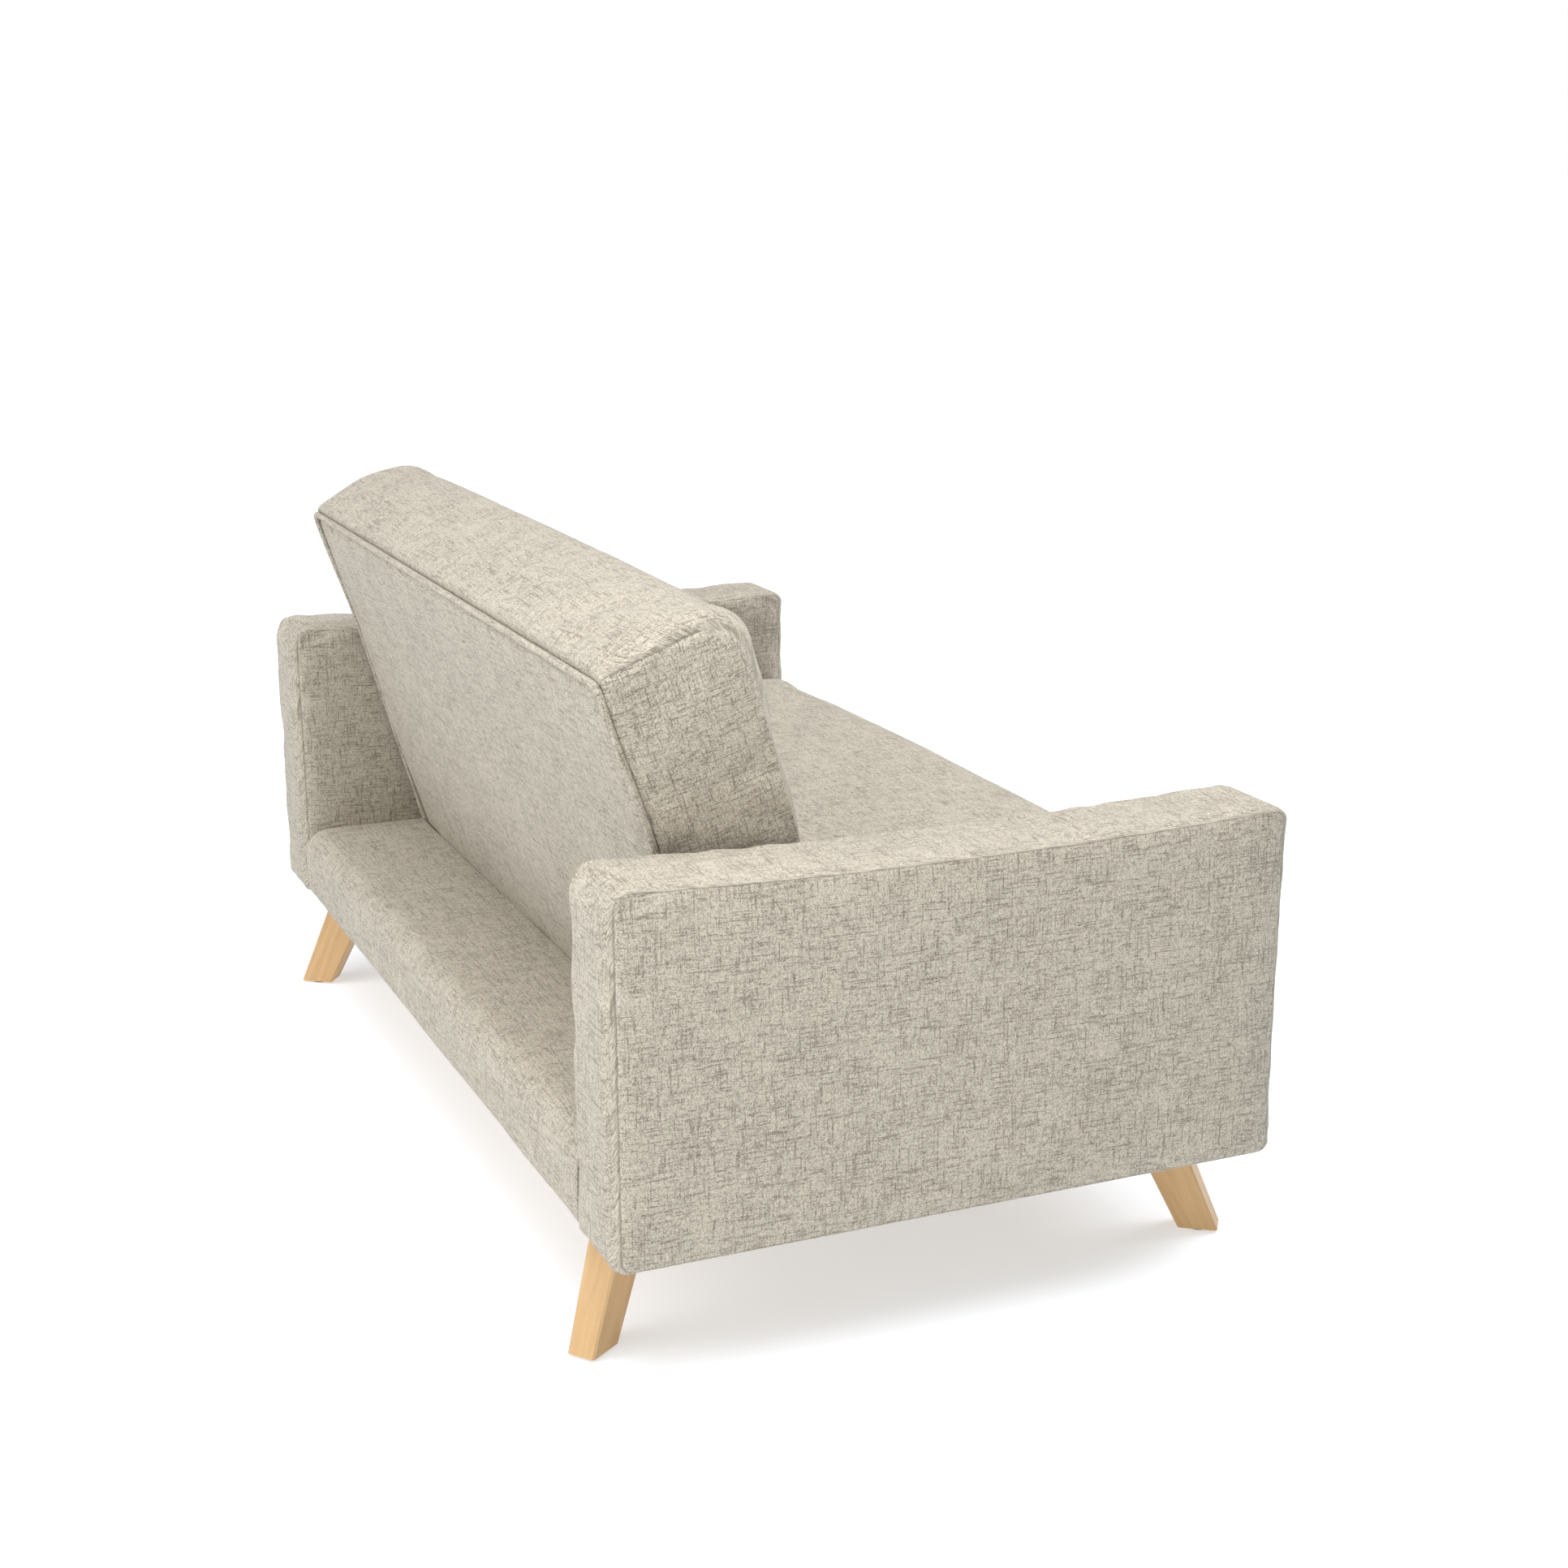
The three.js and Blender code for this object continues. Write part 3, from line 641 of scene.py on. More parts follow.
def oatmeal_fabric():
    """Plain weave of slubby linen-look yarn, laid out along each panel's own threads."""
    n = Nodes("oatmeal_fabric")
    weave = n.add("ShaderNodeUVMap", uv_map="weave").outputs[0]
    parts = n.add("ShaderNodeSeparateXYZ", {0: weave})
    u, v = parts.outputs[0], parts.outputs[1]
    crowd = n.centred(n.noise(weave, CLUSTER_SCALE, 2.0, 0.5, "2D"), CLUSTERING)
    fine = [yarns(n, u, v, THREAD, SLUB, 0.31, crowd, FINE_DARK),
            yarns(n, v, u, THREAD, SLUB, 57.7, crowd, FINE_DARK)]
    heavy = [yarns(n, u, v, HEAVY_THREAD, HEAVY_SLUB, 11.3, crowd, HEAVY_DARK[0]),
             yarns(n, v, u, HEAVY_THREAD, HEAVY_SLUB, 83.9, crowd, HEAVY_DARK[1])]
    index = [n.math("FLOOR", n.math("DIVIDE", c, THREAD)) for c in (u, v)]
    parity = n.math("FLOORED_MODULO", n.math("ADD", *index), 2.0)
    over = n.math("ADD", n.math("MULTIPLY", fine[0], n.math("SUBTRACT", 1.0, parity)),
                  n.math("MULTIPLY", fine[1], parity))
    lines = n.math("MAXIMUM", *heavy)
    shade = n.math("MULTIPLY_ADD", lines, LINE_SHADE, n.math("MULTIPLY", over, CROSSING_SHADE))
    white = n.add("ShaderNodeTexWhiteNoise", {0: n.vector(*index)}, noise_dimensions="2D")
    fleck = white.outputs[0]
    shade = n.math("ADD", shade, n.centred(fleck, FLECK_SHADE))
    tone = n.noise(weave, TONE_SCALE, 2.0, 0.5, "2D")
    shade = n.math("ADD", shade, n.centred(tone, TONE_SHADE))
    colour = n.mix(n.smoothstep(shade, *SHADE_RANGE), OAT_LIGHT, OAT_DARK)
    # painted shade: seams and the groove by the welt are darkened, along with their dark stitching
    stitch_and_shade = n.add("ShaderNodeAttribute", attribute_name="stitch_and_shade").outputs["Fac"]
    colour = n.mix(n.smoothstep(stitch_and_shade, *STITCH_AND_SHADE_RANGE, 0.0, STITCH_AND_SHADE_DEPTH), colour, OAT_STITCH_AND_SHADE)
    across = [n.math("FRACT", n.math("DIVIDE", c, THREAD)) for c in (u, v)]
    rounds = [n.math("SINE", n.math("MULTIPLY", share, math.pi)) for share in across]
    threads = n.math("MULTIPLY", *rounds)
    height = n.math("MULTIPLY_ADD", threads, 0.7, n.math("MULTIPLY", lines, 0.3))
    bump = n.bump(height, WEAVE_DEPTH, WEAVE_BUMP)
    rough = n.smoothstep(fleck, 0.0, 1.0, 0.82, 0.96)
    return n.finish(Base_Color=colour, Roughness=rough, Normal=bump, Specular_IOR_Level=0.25,
                    Sheen_Weight=0.16, Sheen_Roughness=0.5, Sheen_Tint=(1.0, 0.97, 0.92, 1))


RING_SCALE = 26  # timber: sizes of rings, fibres and pores across the grain
FIBRE_SCALE = 520
PORE_SCALE = 1500
FIBRE_STRETCH = 0.045  # share of that scale along the grain
RING_STRETCH = 0.10
BEECH_FINISH = (0.38, 0.2)  # roughness and coat
PINE_FINISH = (0.55, 0.0)


def wood(name, light, dark, axis, finish):
    """Straight-grained timber: fibres and growth rings that run along the given direction."""
    rough, coat = finish
    n = Nodes(name)
    turn = Vector((0, 0, 1)).rotation_difference(Vector(axis)).inverted().to_euler()
    place = n.add("ShaderNodeTexCoord").outputs["Object"]
    turned = n.mapping(place, Rotation=turn)
    grain = n.mapping(turned, Scale=(1, 1, FIBRE_STRETCH))
    broad = n.mapping(turned, Scale=(1, 1, RING_STRETCH))
    rings = n.noise(broad, RING_SCALE, 2.0, 0.5, distortion=0.4)
    bands = n.math("PINGPONG", n.math("MULTIPLY", rings, 9.0), 1.0)
    fibres = n.noise(grain, FIBRE_SCALE, 3.0, 0.6)
    pores = n.smoothstep(n.noise(grain, PORE_SCALE, 1.0, 0.5), 0.60, 0.70)
    depth = n.math("ADD", n.math("MULTIPLY", bands, 0.45), n.math("MULTIPLY", fibres, 0.55))
    colour = n.mix(n.smoothstep(depth, 0.15, 0.95), light, dark)
    colour = n.mix(n.math("MULTIPLY", pores, 0.35), colour, dark)
    worn = n.add("ShaderNodeNewGeometry").outputs["Pointiness"]
    colour = n.mix(n.smoothstep(worn, 0.52, 0.60, 0.0, 0.25), colour, light)
    roughness = n.smoothstep(fibres, 0.3, 0.7, rough, rough + 0.14)
    height = n.math("SUBTRACT", fibres, n.math("MULTIPLY", pores, 0.8))
    return n.finish(Base_Color=colour, Roughness=roughness, Normal=n.bump(height, 0.0003, 0.3),
                    Coat_Weight=coat, Coat_Roughness=0.3)


SCRATCH_STRETCH = 0.08
DULLED = 0.62  # share of its colour that steel keeps where it is stained


def brushed_steel(name, colour, rough):
    """Zinc-plated or brushed steel with fine scratches."""
    n = Nodes(name)
    place = n.add("ShaderNodeTexCoord").outputs["Object"]
    fine = n.mapping(place, Scale=(1, SCRATCH_STRETCH, 1))
    scratches = n.noise(fine, 1400.0, 3.0, 0.7)
    stains = n.noise(place, 40.0, 4.0, 0.6)
    dull = tuple(c * DULLED for c in colour[:3]) + (1,)
    tint = n.mix(n.smoothstep(stains, 0.35, 0.75), colour, dull)
    roughness = n.smoothstep(scratches, 0.25, 0.75, rough, rough + 0.2)
    return n.finish(Base_Color=tint, Metallic=1.0, Roughness=roughness,
                    Normal=n.bump(scratches, 0.0001, 0.25))


def glide_felt():
    """Dark needled felt under the legs."""
    n = Nodes("glide_felt")
    place = n.add("ShaderNodeTexCoord").outputs["Object"]
    hair = n.noise(place, 900.0, 4.0, 0.7, distortion=1.5)
    colour = n.mix(n.smoothstep(hair, 0.3, 0.7), FELT_LIGHT, FELT_DARK)
    return n.finish(Base_Color=colour, Roughness=n.smoothstep(hair, 0.2, 0.8, 0.9, 1.0),
                    Normal=n.bump(hair, 0.0006, 0.6), Sheen_Weight=0.3)


BEECH_LIGHT = (0.60, 0.39, 0.183, 1)
BEECH_DARK = (0.50, 0.296, 0.124, 1)
PINE_LIGHT = (0.66, 0.46, 0.26, 1)
PINE_DARK = (0.50, 0.31, 0.15, 1)
STEEL = (0.56, 0.57, 0.58, 1)
ZINC = (0.62, 0.61, 0.57, 1)
FELT_LIGHT = (0.075, 0.068, 0.062, 1)
FELT_DARK = (0.035, 0.032, 0.03, 1)

fabric = oatmeal_fabric()


def cover(obj, body, kind, *nodes):
    """Makes a finished upholstery piece stand for its CAD solids on their body."""
    obj.data.materials.clear()
    obj.data.materials.append(fabric)
    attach(obj, body)
    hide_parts(*nodes)


# ---- Arms ----
def arm_outline(low, high, distance):
    """The arm's outline in (y, z), fullest in the middle of its band and drawn in at the seam."""
    drawn = roll(distance, ARM_ROLL)
    foot, rear, front = [r + (ARM_PANEL_RADIUS - r) * drawn
                         for r in (ARM_FOOT_RADIUS, ARM_REAR_RADIUS, ARM_FRONT_RADIUS)]
    corners = [(low.y, low.z, foot), (high.y, low.z, foot), (high.y, high.z, rear),
               (low.y, high.z, front)]
    dip = dip_at(distance)
    side = ARM_BAND_CROWN * drawn + dip
    top = ARM_TOP_CROWN * drawn + dip
    return inset(corners, (side, side, top, top))


def sagging(points, low, high):
    """Lets the arm's top sink between its ends."""
    share = np.clip((points[:, 2] - low.z) / (high.z - low.z), 0, 1)
    span = np.clip(1 - (points[:, 1] / (ARM_SAG_SPAN * high.y)) ** 2, 0, 1)
    points[:, 2] -= ARM_SAG * span * share ** 3
    return points


def make_arm(side, sign):
    node = f"arm_pad_{side}"
    low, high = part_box(node)
    middle = (low.x + high.x) / 2
    half = (high.x - low.x) / 2 - ARM_PANEL_LIFT
    reach = PANEL_REACH + ARM_BAND_CROWN
    inner = (low.y + reach, high.y - reach, low.z + reach, high.z - reach)

    def place(points):
        points[:, 0] += middle
        return sagging(points, low, high)

    obj, pinned = panelled(f"arm_cover_{side}", half, lambda d: arm_outline(low, high, d), inner,
                           place)
    pinned |= set(np.flatnonzero(points_of(obj.data)[:, 2] < low.z + ARM_HEM))
    pad(obj, "arm", pinned, seed=1 + sign)
    refine(obj)
    board_low, board_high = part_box(f"arm_board_{side}")
    carve(obj, board_low - GAP - Vector((0, 0, POCKET_REACH)), board_high + GAP)
    cover(obj, "base", "arm", node)


# ---- Seat ----
def make_seat():
    low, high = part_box("seat_pad")
    frame_low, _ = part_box("seat_rail_front")
    bottom = frame_low.z + TINY
    half = high.x - ARM_PANEL_LIFT

    def outline_at(distance):
        drawn = roll(distance, BLOCK_ROLL)
        top = high.z + SEAT_RISE - SEAT_FALL * (1 - distance / half) ** 4
        foot, rear, front = SEAT_RADII
        corners = [(low.y, bottom, foot), (high.y, bottom, foot),
                   (high.y, top - SEAT_REAR_DROP, rear), (low.y, top, front)]
        dip = dip_at(distance)
        soft = SEAT_CROWN * drawn + dip
        return inset(corners, (soft, soft, dip / 2, soft))

    reach = PANEL_REACH + SEAT_CROWN
    inner = (low.y + reach, high.y - reach, bottom + reach, high.z - reach)
    obj, pinned = panelled("seat_cover", half, outline_at, inner, lambda points: points)
    pinned |= set(np.flatnonzero(points_of(obj.data)[:, 2] < frame_low.z + SEAT_HEM))
    pad(obj, "seat", pinned, seed=5)
    refine(obj)
    rails = [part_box(f"seat_rail_{name}") for name in ("front", "rear", "left", "right")]
    pocket_low = Vector([min(box[0][k] for box in rails) - TINY for k in range(3)])
    pocket_high = Vector([max(box[1][k] for box in rails) + TINY for k in range(3)])
    carve(obj, pocket_low - Vector((0, 0, POCKET_REACH)), pocket_high)
    cover(obj, "base", "seat", "seat_pad")


# ---- Back ----
def leaning_frame():
    """Axes of the leaning back, with z up its rear face, from the straight edges of its panel."""
    points = [v.co.copy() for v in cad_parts["back_panel"].data.vertices]
    end = [p for p in points if p.x > 0]
    end.sort(key=lambda p: p.z)
    half = len(end) // 2
    up = sum(end[half:], Vector()) / half - sum(end[:half], Vector()) / half
    up.normalize()
    lean = math.atan2(up.y, up.z)
    foot = Vector((0, end[0].y, end[0].z))
    return Matrix.Translation(foot) @ Matrix.Rotation(-lean, 4, "X")


BACK = leaning_frame()


def box_in_back(*nodes):
    """Lowest and highest corners of nodes, in the leaning back's own axes."""
    inverse = BACK.inverted()
    points = np.array([inverse @ v.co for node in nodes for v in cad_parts[node].data.vertices])
    return Vector(points.min(0)), Vector(points.max(0))


def flare_at(height):
    """How far the back's rear edge stands out at a height up the back."""
    share = np.clip((height - BACK_FLARE_FROM) / BACK_FLARE_SPAN, 0, 1)
    return BACK_FLARE * share * share * (3 - 2 * share)


def flared(points):
    """Points (x, y, z) in the back's axes, with those near its rear face moved out with its edge."""
    moved = np.array(points, dtype=float)
    near_rear = np.clip((moved[:, 1] + BACK_FLARE_DEPTH) / BACK_FLARE_FADE, 0, 1)
    moved[:, 1] += near_rear * flare_at(moved[:, 2])
    return moved


def make_back():
    low, high = box_in_back("back_pad")
    panel_low, _ = box_in_back("back_panel")
    rear = panel_low.y - TINY
    rear_top = high.z + BACK_UPPER["rear"][0]
    half = high.x - ARM_PANEL_LIFT

    def upper(corner, drawn, crown, dip):
        """Height and radius of one of the upper corners."""
        rise, fall, radius, growth = BACK_UPPER[corner]
        return high.z + crown + rise - fall * drawn - dip, radius + growth * drawn

    def outline_at(distance):
        drawn = roll(distance, BLOCK_ROLL)
        dip = dip_at(distance)
        front = low.y + BACK_CROWN * drawn
        crown = BACK_TOP_CROWN * (1 - roll(distance, BACK_TOP_SPAN))
        return [
            (front, low.z + dip, BACK_FOOT_RADII[0]),
            (rear, low.z + dip, BACK_FOOT_RADII[1]),
            (rear, *upper("rear", drawn, 0, 0)),
            (low.y * (BACK_RIDGE[0] + BACK_RIDGE[1] * drawn), *upper("ridge", drawn, crown, dip)),
            (front, *upper("front", drawn, crown, dip)),
        ]

    def hidden(a):
        return 1 - min(1.0, max(0.0, (a - low.y - BACK_STITCH_FROM) / BACK_STITCH_FADE))

    inner = (low.y + BACK_CROWN + PANEL_REACH, rear - PANEL_REACH, low.z + PANEL_REACH,
             rear_top - PANEL_REACH)
    obj, pinned = panelled("back_cover", half, outline_at, inner, flared, BACK, (0, 1, 2, 4), hidden)
    rest = points_of(obj.data) @ np.array(BACK.inverted())[:3, :3].T
    rear_plane = rest[:, 1].max()
    pinned |= set(np.flatnonzero(rest[:, 1] > rear_plane - BACK_FLARE - BACK_HEM))
    pad(obj, "back", pinned, seed=9)
    refine(obj)
    rails = ["back_rail_bottom", "back_rail_top", "back_post_left", "back_post_right"]
    pocket_low, pocket_high = box_in_back(*rails)
    carve(obj, pocket_low - GAP, pocket_high + GAP + Vector((0, POCKET_REACH, 0)), BACK)
    cover(obj, "back", "back", "back_pad")


def rear_panel_box():
    """Box of the rear panel's fabric, which nearly reaches the pad's sides and top and hangs
    below its foot."""
    low, high = box_in_back("back_panel")
    pad_low, pad_high = box_in_back("back_pad")
    low.x, high.x = pad_low.x + PANEL_SIDE_INSET, pad_high.x - PANEL_SIDE_INSET
    low.z, high.z = pad_low.z - PANEL_FOOT_DROP, pad_high.z - PANEL_TOP_INSET
    return low, high


def make_back_panel():
    low, high = rear_panel_box()
    corners = rectangle(low.x, high.x, low.z, high.z, PANEL_CORNER)
    corners = inset(corners, (WELT_GAP, WELT_GAP, 0.0, WELT_GAP))
    sides = sides_of(corners)
    shell = Shell(*[graded(length_of(side)) for side in sides[:2]])
    outline = ring_of(sides, shell.across, shell.up)
    narrower = [(a * PANEL_FRONT_SHARE, b, r) for a, b, r in corners]
    smaller = ring_of(sides_of(narrower), shell.across, shell.up)
    first, last = [low.y + depth for depth in PANEL_EDGE]
    rings = shell.loft([(low.y + TINY, smaller), (first, outline), (last, outline)])
    rises = REAR_PANEL_RINGS
    span = rises[-1][0]
    reach = span + WELT_GAP
    inner = (low.x + reach, high.x - reach, low.z + reach, high.z - reach)
    shift = WEAVE_SHIFT["panel"]
    shell.cap(rings[0], low.y + TINY, -1, [(d, 0.0) for d, _ in rises], span, inner, shift[0])
    shell.cap(rings[-1], last, 1, rises, span, inner, shift[1])
    # the rear panel's edge rings: dark stitching and painted shade in the groove by the welt
    shell.mark_stitch_and_shade(rings[1] + rings[2], PANEL_STITCH_AND_SHADE)

    def place(points):
        return flared(points[:, [1, 0, 2]])

    obj = shell.mesh("back_panel_cover", place, BACK)
    local = points_of(obj.data) @ np.array(BACK.inverted())[:3, :3].T
    local[:, 1] -= flare_at(local[:, 2])
    front_plane = local[:, 1].min()
    pad(obj, "panel", np.flatnonzero(local[:, 1] < front_plane + PANEL_HEM), seed=13)
    press_flat(obj, BACK, 1, lambda points: FOLDED_GAP + flare_at(points[:, 2]))
    refine(obj)
    cover(obj, "back", "panel", "back_panel")


def tube(name, path, radius, matrix, segments=8):
    """A cord of piping along a line of points, with closed ends and its weave laid round it."""
    count = len(path)
    points, weave, faces, uvs = [], [], [], []
    reach = 0.0
    for k in range(count):
        ahead = (path[min(k + 1, count - 1)] - path[max(k - 1, 0)]).normalized()
        out = ahead.cross(Vector((0, 1, 0))).normalized()
        side = ahead.cross(out)
        lumpy = radius * (1 + WELT_LUMPS * noise.noise(path[k] * WELT_LUMP_SCALE))
        for s in range(segments):
            angle = 2 * math.pi * s / segments
            points.append(path[k] + lumpy * (out * math.cos(angle) + side * math.sin(angle)))
        weave.append(reach)
        reach += (path[min(k + 1, count - 1)] - path[k]).length
    lap = [2 * math.pi * radius * i / segments for i in range(segments + 1)]
    for k in range(count - 1):
        for s in range(segments):
            t = (s + 1) % segments
            here, there = k * segments, (k + 1) * segments
            faces.append((here + s, there + s, there + t, here + t))
            uvs += [(weave[k], lap[s]), (weave[k + 1], lap[s]),
                    (weave[k + 1], lap[s + 1]), (weave[k], lap[s + 1])]
    for first in (0, (count - 1) * segments):
        faces.append(tuple(range(first, first + segments)))
        uvs += [(radius * math.cos(a / radius), radius * math.sin(a / radius)) for a in lap[:-1]]
    data = bpy.data.meshes.new(name)
    data.from_pydata([tuple(p) for p in points], [], faces)
    data.uv_layers.new(name="weave").data.foreach_set("uv", np.array(uvs).ravel())
    data.transform(matrix)
    face_out(data)
    return linked(name, data)


def make_back_welt():
    """Piping up both sides of the rear panel and across its top, between panel and boxing."""
    low, high = rear_panel_box()
    line = open_line([(low.x, low.z, 0), (low.x, high.z, PANEL_CORNER),
                      (high.x, high.z, PANEL_CORNER), (high.x, low.z, 0)])
    shares = np.linspace(0, 1, round(length_of(line) / WELT_STEP))
    depth = high.y - WELT_RADIUS + TINY
    path = [Vector((a, depth + flare_at(b), b)) for a, b in along(line, shares)]
    obj = tube("back_welt", path, WELT_RADIUS, BACK)
    obj.data.materials.append(fabric)
    subdivide(obj)
    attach(obj, "back")


# ---- Base ----
END_STEPS = [0.0, 0.0012, 0.003, 0.006, 0.010, 0.016, 0.026, 0.042]
SLAB_STEP = 0.022
SLAB_LAYERS = 4


def slab(name, half, sides_at):
    """A bent slab of padded fabric: sides_at(distance from its end) gives four side polylines."""
    shell = Shell(graded(length_of(sides_at(half)[0])), np.linspace(0, 1, SLAB_LAYERS))
    stations = end_stations(half)
    rings = shell.loft([(h, ring_of(sides_at(half - abs(h)), shell.across, shell.up))
                        for h in stations])
    shift = WEAVE_SHIFT["slab"]
    shell.fill(rings[0], stations[0], shift[0])
    shell.fill(rings[-1], stations[-1], shift[1])
    return shell.mesh(name, lambda points: points)


def drawn_in(distance, amounts):
    """How far a slab is drawn in near its ends: sharply at its hem, slightly further away."""
    hem, reach, settled = amounts
    return hem * roll(distance, reach) + settled * roll(distance, SETTLE_REACH)


def end_stations(half):
    """Where a slab's rings lie between -half and half, closely spaced at both ends."""
    ends = END_STEPS
    middle = 2 * (half - ends[-1])
    count = round(middle / SLAB_STEP)
    inner = [-half + ends[-1] + middle * k / count for k in range(1, count)]
    return [-half + e for e in ends] + inner + [half - e for e in reversed(ends)]


def closed(outer, inner):
    """The four sides of a slab's section: its outer and inner lines, joined at their ends."""
    return outer, np.array([outer[-1], inner[0]]), inner, np.array([inner[-1], outer[0]])


def open_line(corners):
    """Polyline through (a, b, radius) corners that isn't closed: its two ends keep no rounding."""
    ends = (0, len(corners) - 1)
    points, _ = rounded([(a, b, 0 if i in ends else r) for i, (a, b, r) in enumerate(corners)])
    return points


def make_ledge():
    """One cover over the rear ledge: top, roll and rear face down to the base's lower edge."""
    top_low, top_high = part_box("ledge_pad")
    skin_low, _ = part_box("rear_skin")
    half = top_high.x

    def sides_at(distance):
        soft = drawn_in(distance, LEDGE_DRAWN)
        rear, top, foot = top_high.y - soft, top_high.z - soft, skin_low.z + soft
        under = top_low.z + TINY
        outer = open_line([(top_low.y, top, 0), (rear, top, LEDGE_RADII[0]),
                           (rear, foot, LEDGE_RADII[1]), (skin_low.y, foot, 0)])
        inner = open_line([(skin_low.y, foot + LEDGE_TURN_IN, 0),
                           (skin_low.y, under, LEDGE_RADII[2]), (top_low.y, under, 0)])
        return closed(outer, inner)

    obj = slab("ledge_cover", half, sides_at)
    rest = points_of(obj.data)
    outside = (rest[:, 2] > top_low.z + LEDGE_TOP_HEM) | (rest[:, 1] > skin_low.y + LEDGE_REAR_HEM)
    at_end = np.abs(rest[:, 0]) > half - END_HEM
    pad(obj, "ledge", np.flatnonzero(at_end | ~outside), seed=17)
    press_flat(obj, Matrix.Identity(4), 2, lambda points: top_high.z + FOLDED_GAP)
    refine(obj)
    cover(obj, "base", "ledge", "ledge_pad", "rear_skin")


def make_apron():
    """The fabric over the front rail."""
    low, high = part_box("apron_skin")
    half = high.x

    def sides_at(distance):
        soft = drawn_in(distance, APRON_DRAWN)
        front, top, foot = low.y + soft, high.z - soft, low.z + soft
        outer = open_line([(high.y, foot, 0), (front, foot, APRON_RADII[0]),
                           (front, top, APRON_RADII[1]), (high.y, top, 0)])
        inner = np.array([(high.y, top - APRON_TURN_IN), (high.y, foot + APRON_TURN_IN)])
        return closed(outer, inner)

    obj = slab("apron_cover", half, sides_at)
    rest = points_of(obj.data)
    at_end = np.abs(rest[:, 0]) > half - END_HEM
    pad(obj, "apron", np.flatnonzero(at_end | (rest[:, 1] > high.y - END_HEM)), seed=21)
    refine(obj)
    cover(obj, "base", "apron", "apron_skin")


# ---- Carried-over frame ----
LEG_EDGE = 0.0012
FRAME_EDGE = 0.0015
LEG_END = 0.002  # corners this near to a leg's highest or lowest point belong to that end
DEEP = ("side_rail", "cross_rail", "seat_slat", "seat_rail_left", "seat_rail_right")
ACROSS = ("arm_board", "back_rail", "front_rail", "ledge_board", "ledge_rail", "rear_rail",
          "seat_bearer", "seat_rail_front", "seat_rail_rear")


def paint(node, material):
    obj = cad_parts[node]
    for slot in obj.material_slots:
        slot.material = material


def soften_edges(node, width):
    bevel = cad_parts[node].modifiers.new("edges", "BEVEL")
    bevel.width = width
    bevel.segments = 2
    bevel.limit_method = "ANGLE"


def finish_legs():
    """Beech for each leg, with its grain along that leg."""
    for depth in ("front", "rear"):
        for side in SIDES:
            node = f"leg_{depth}_{side}"
            points = points_of(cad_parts[node].data)
            heights = points[:, 2]
            head = points[heights > heights.max() - LEG_END].mean(0)
            foot = points[heights < heights.min() + LEG_END].mean(0)
            axis = Vector(head - foot).normalized()
            beech = wood(f"beech_{depth}_{side}", BEECH_LIGHT, BEECH_DARK, axis, BEECH_FINISH)
            paint(node, beech)
            soften_edges(node, LEG_EDGE)


def finish_frame():
    """Timber, steel and felt for the nodes that keep their CAD shape."""
    leaning = (BACK.to_3x3() @ Vector((0, 0, 1))).normalized()
    runs = {"across": (1, 0, 0), "deep": (0, 1, 0), "upright": (0, 0, 1), "leaning": leaning}
    pine = {run: wood(f"pine_{run}", PINE_LIGHT, PINE_DARK, axis, PINE_FINISH)
            for run, axis in runs.items()}
    plate = brushed_steel("hinge_steel", STEEL, rough=0.30)
    zinc = brushed_steel("zinc_steel", ZINC, rough=0.38)
    felt = glide_felt()
    finishes = {  # by what the nodes' names start with
        ("leg_bolt", "arm_bolt"): zinc,
        ("hinge_plate", "pivot_pin", "back_plate", "pawl"): plate,
        ("glide",): felt,
        ("back_post", "back_slat"): pine["leaning"],
        DEEP: pine["deep"],
        ("corner_block",): pine["upright"],
        ACROSS: pine["across"],
    }
    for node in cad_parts:
        for starts, finish in finishes.items():
            if node.startswith(starts):
                paint(node, finish)
                if finish in pine.values():
                    soften_edges(node, FRAME_EDGE)


# ---- Stage ----
CAMERA_PLACE = (-3.1534, 1.2071, 1.3674)
CAMERA_AZIMUTH = math.radians(245.335)
CAMERA_ELEVATION = math.radians(16.701)
CAMERA_ROLL = math.radians(0.279)
CAMERA_LENS = 55.08  # millimetres, as is the sensor
CAMERA_SENSOR = 36
CAMERA_SHIFT = (-0.04265, 0.04938)

FLOOR_HALF = 80.0
FLOOR_GLOW = 0.521
FLOOR_WHITE = (0.57, 0.605, 0.652, 1)
PLAIN = (1.0, 1.0, 1.0)
WARM = (1.0, 0.972, 0.89)
MILD = (1.0, 0.983, 0.935)
COOL = (0.955, 0.968, 1.0)
SOFTBOXES = {  # place, size, watts and colour; each is aimed at the middle of the sofa
    "near_high": ((-1.4, 0.6, 2.0), 1.0, 14.4, PLAIN),
    "near_low": ((-2.3, 0.45, 0.20), 0.9, 9.2, WARM),
    "rear_top": ((0.3, 3.0, 2.6), 2.0, 39.7, PLAIN),
    "rear_low": ((-1.0, 3.6, 1.1), 1.8, 22.5, MILD),
    "front_top": ((0.0, -2.6, 2.8), 2.0, 74.1, PLAIN),
}
SKYLIGHTS = {  # direction towards the light, strength and colour
    "overhead": ((0.0, 0.0, 1.0), 2.44, COOL),
    "behind": ((-0.25, 0.8, 0.55), 0.855, MILD),
}
SKYLIGHT_SPREAD = math.radians(60)
AIM = Vector((0, 0, 0.4))


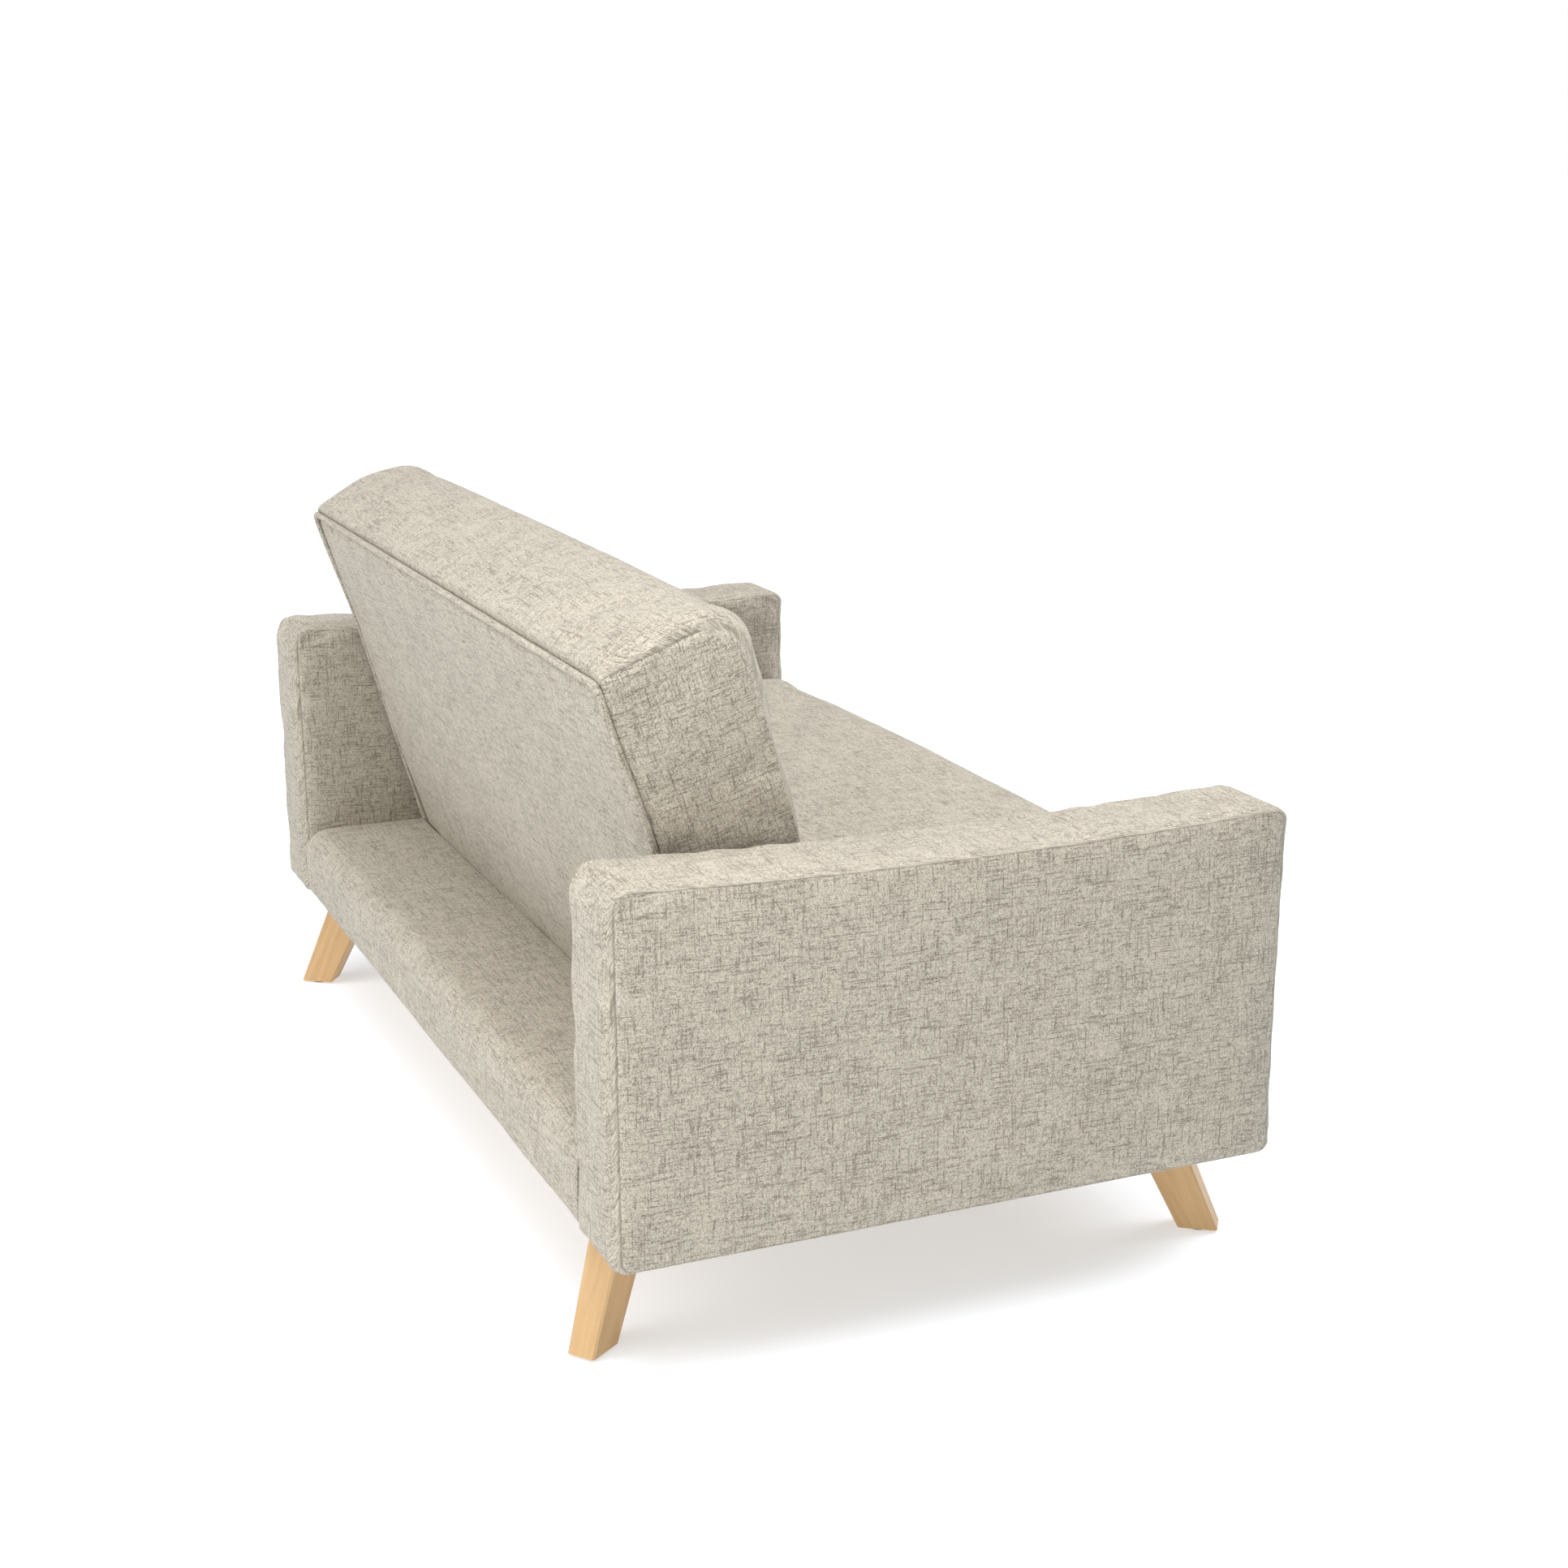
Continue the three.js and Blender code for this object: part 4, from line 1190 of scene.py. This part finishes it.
def make_camera():
    data = bpy.data.cameras.new("camera")
    data.lens = CAMERA_LENS
    data.sensor_width = CAMERA_SENSOR
    data.shift_x, data.shift_y = CAMERA_SHIFT
    obj = linked("camera", data)
    flat = math.cos(CAMERA_ELEVATION)
    back = Vector((math.sin(CAMERA_AZIMUTH) * flat, -math.cos(CAMERA_AZIMUTH) * flat,
                   math.sin(CAMERA_ELEVATION)))
    right = Vector((0, 0, 1)).cross(back).normalized()
    up = back.cross(right)
    cos, sin = math.cos(CAMERA_ROLL), math.sin(CAMERA_ROLL)
    axes = Matrix((cos * right + sin * up, cos * up - sin * right, back)).transposed()
    obj.matrix_world = Matrix.Translation(CAMERA_PLACE) @ axes.to_4x4()
    bpy.context.scene.camera = obj


def make_floor():
    data = bpy.data.meshes.new("floor")
    e = FLOOR_HALF
    data.from_pydata([(-e, -e, 0), (e, -e, 0), (e, e, 0), (-e, e, 0)], [], [(0, 1, 2, 3)])
    obj = linked("floor", data)
    n = Nodes("floor")
    data.materials.append(n.finish(Base_Color=FLOOR_WHITE, Roughness=1.0,
                                   Specular_IOR_Level=0.0, Emission_Color=(1, 1, 1, 1),
                                   Emission_Strength=FLOOR_GLOW))


def make_lamp(name, kind, towards, place=(0, 0, 0)):
    data = bpy.data.lights.new(name, kind)
    obj = linked(name, data)
    turn = towards.to_track_quat("-Z", "Y").to_matrix().to_4x4()
    obj.matrix_world = Matrix.Translation(place) @ turn
    obj.visible_camera = False
    return data


def make_light():
    """Large soft lamps, in front of a white surround that casts no light itself."""
    world = bpy.data.worlds.new("studio")
    world.use_nodes = True
    nodes = world.node_tree.nodes
    seen = nodes.new("ShaderNodeLightPath")
    world.node_tree.links.new(seen.outputs["Is Camera Ray"], nodes["Background"].inputs[1])
    nodes["Background"].inputs[0].default_value = (1, 1, 1, 1)
    bpy.context.scene.world = world
    for name, (place, size, power, colour) in SOFTBOXES.items():
        lamp = make_lamp(name, "AREA", AIM - Vector(place), place)
        lamp.size = size
        lamp.energy = power
        lamp.color = colour
    for name, (direction, strength, colour) in SKYLIGHTS.items():
        lamp = make_lamp(name, "SUN", -Vector(direction))
        lamp.angle = SKYLIGHT_SPREAD
        lamp.energy = strength
        lamp.color = colour
    bpy.context.scene.view_settings.view_transform = "Standard"


make_camera()
make_floor()
make_light()
for side, sign in SIDES.items():
    make_arm(side, sign)
make_seat()
make_back()
make_back_panel()
make_back_welt()
make_ledge()
make_apron()
finish_legs()
finish_frame()
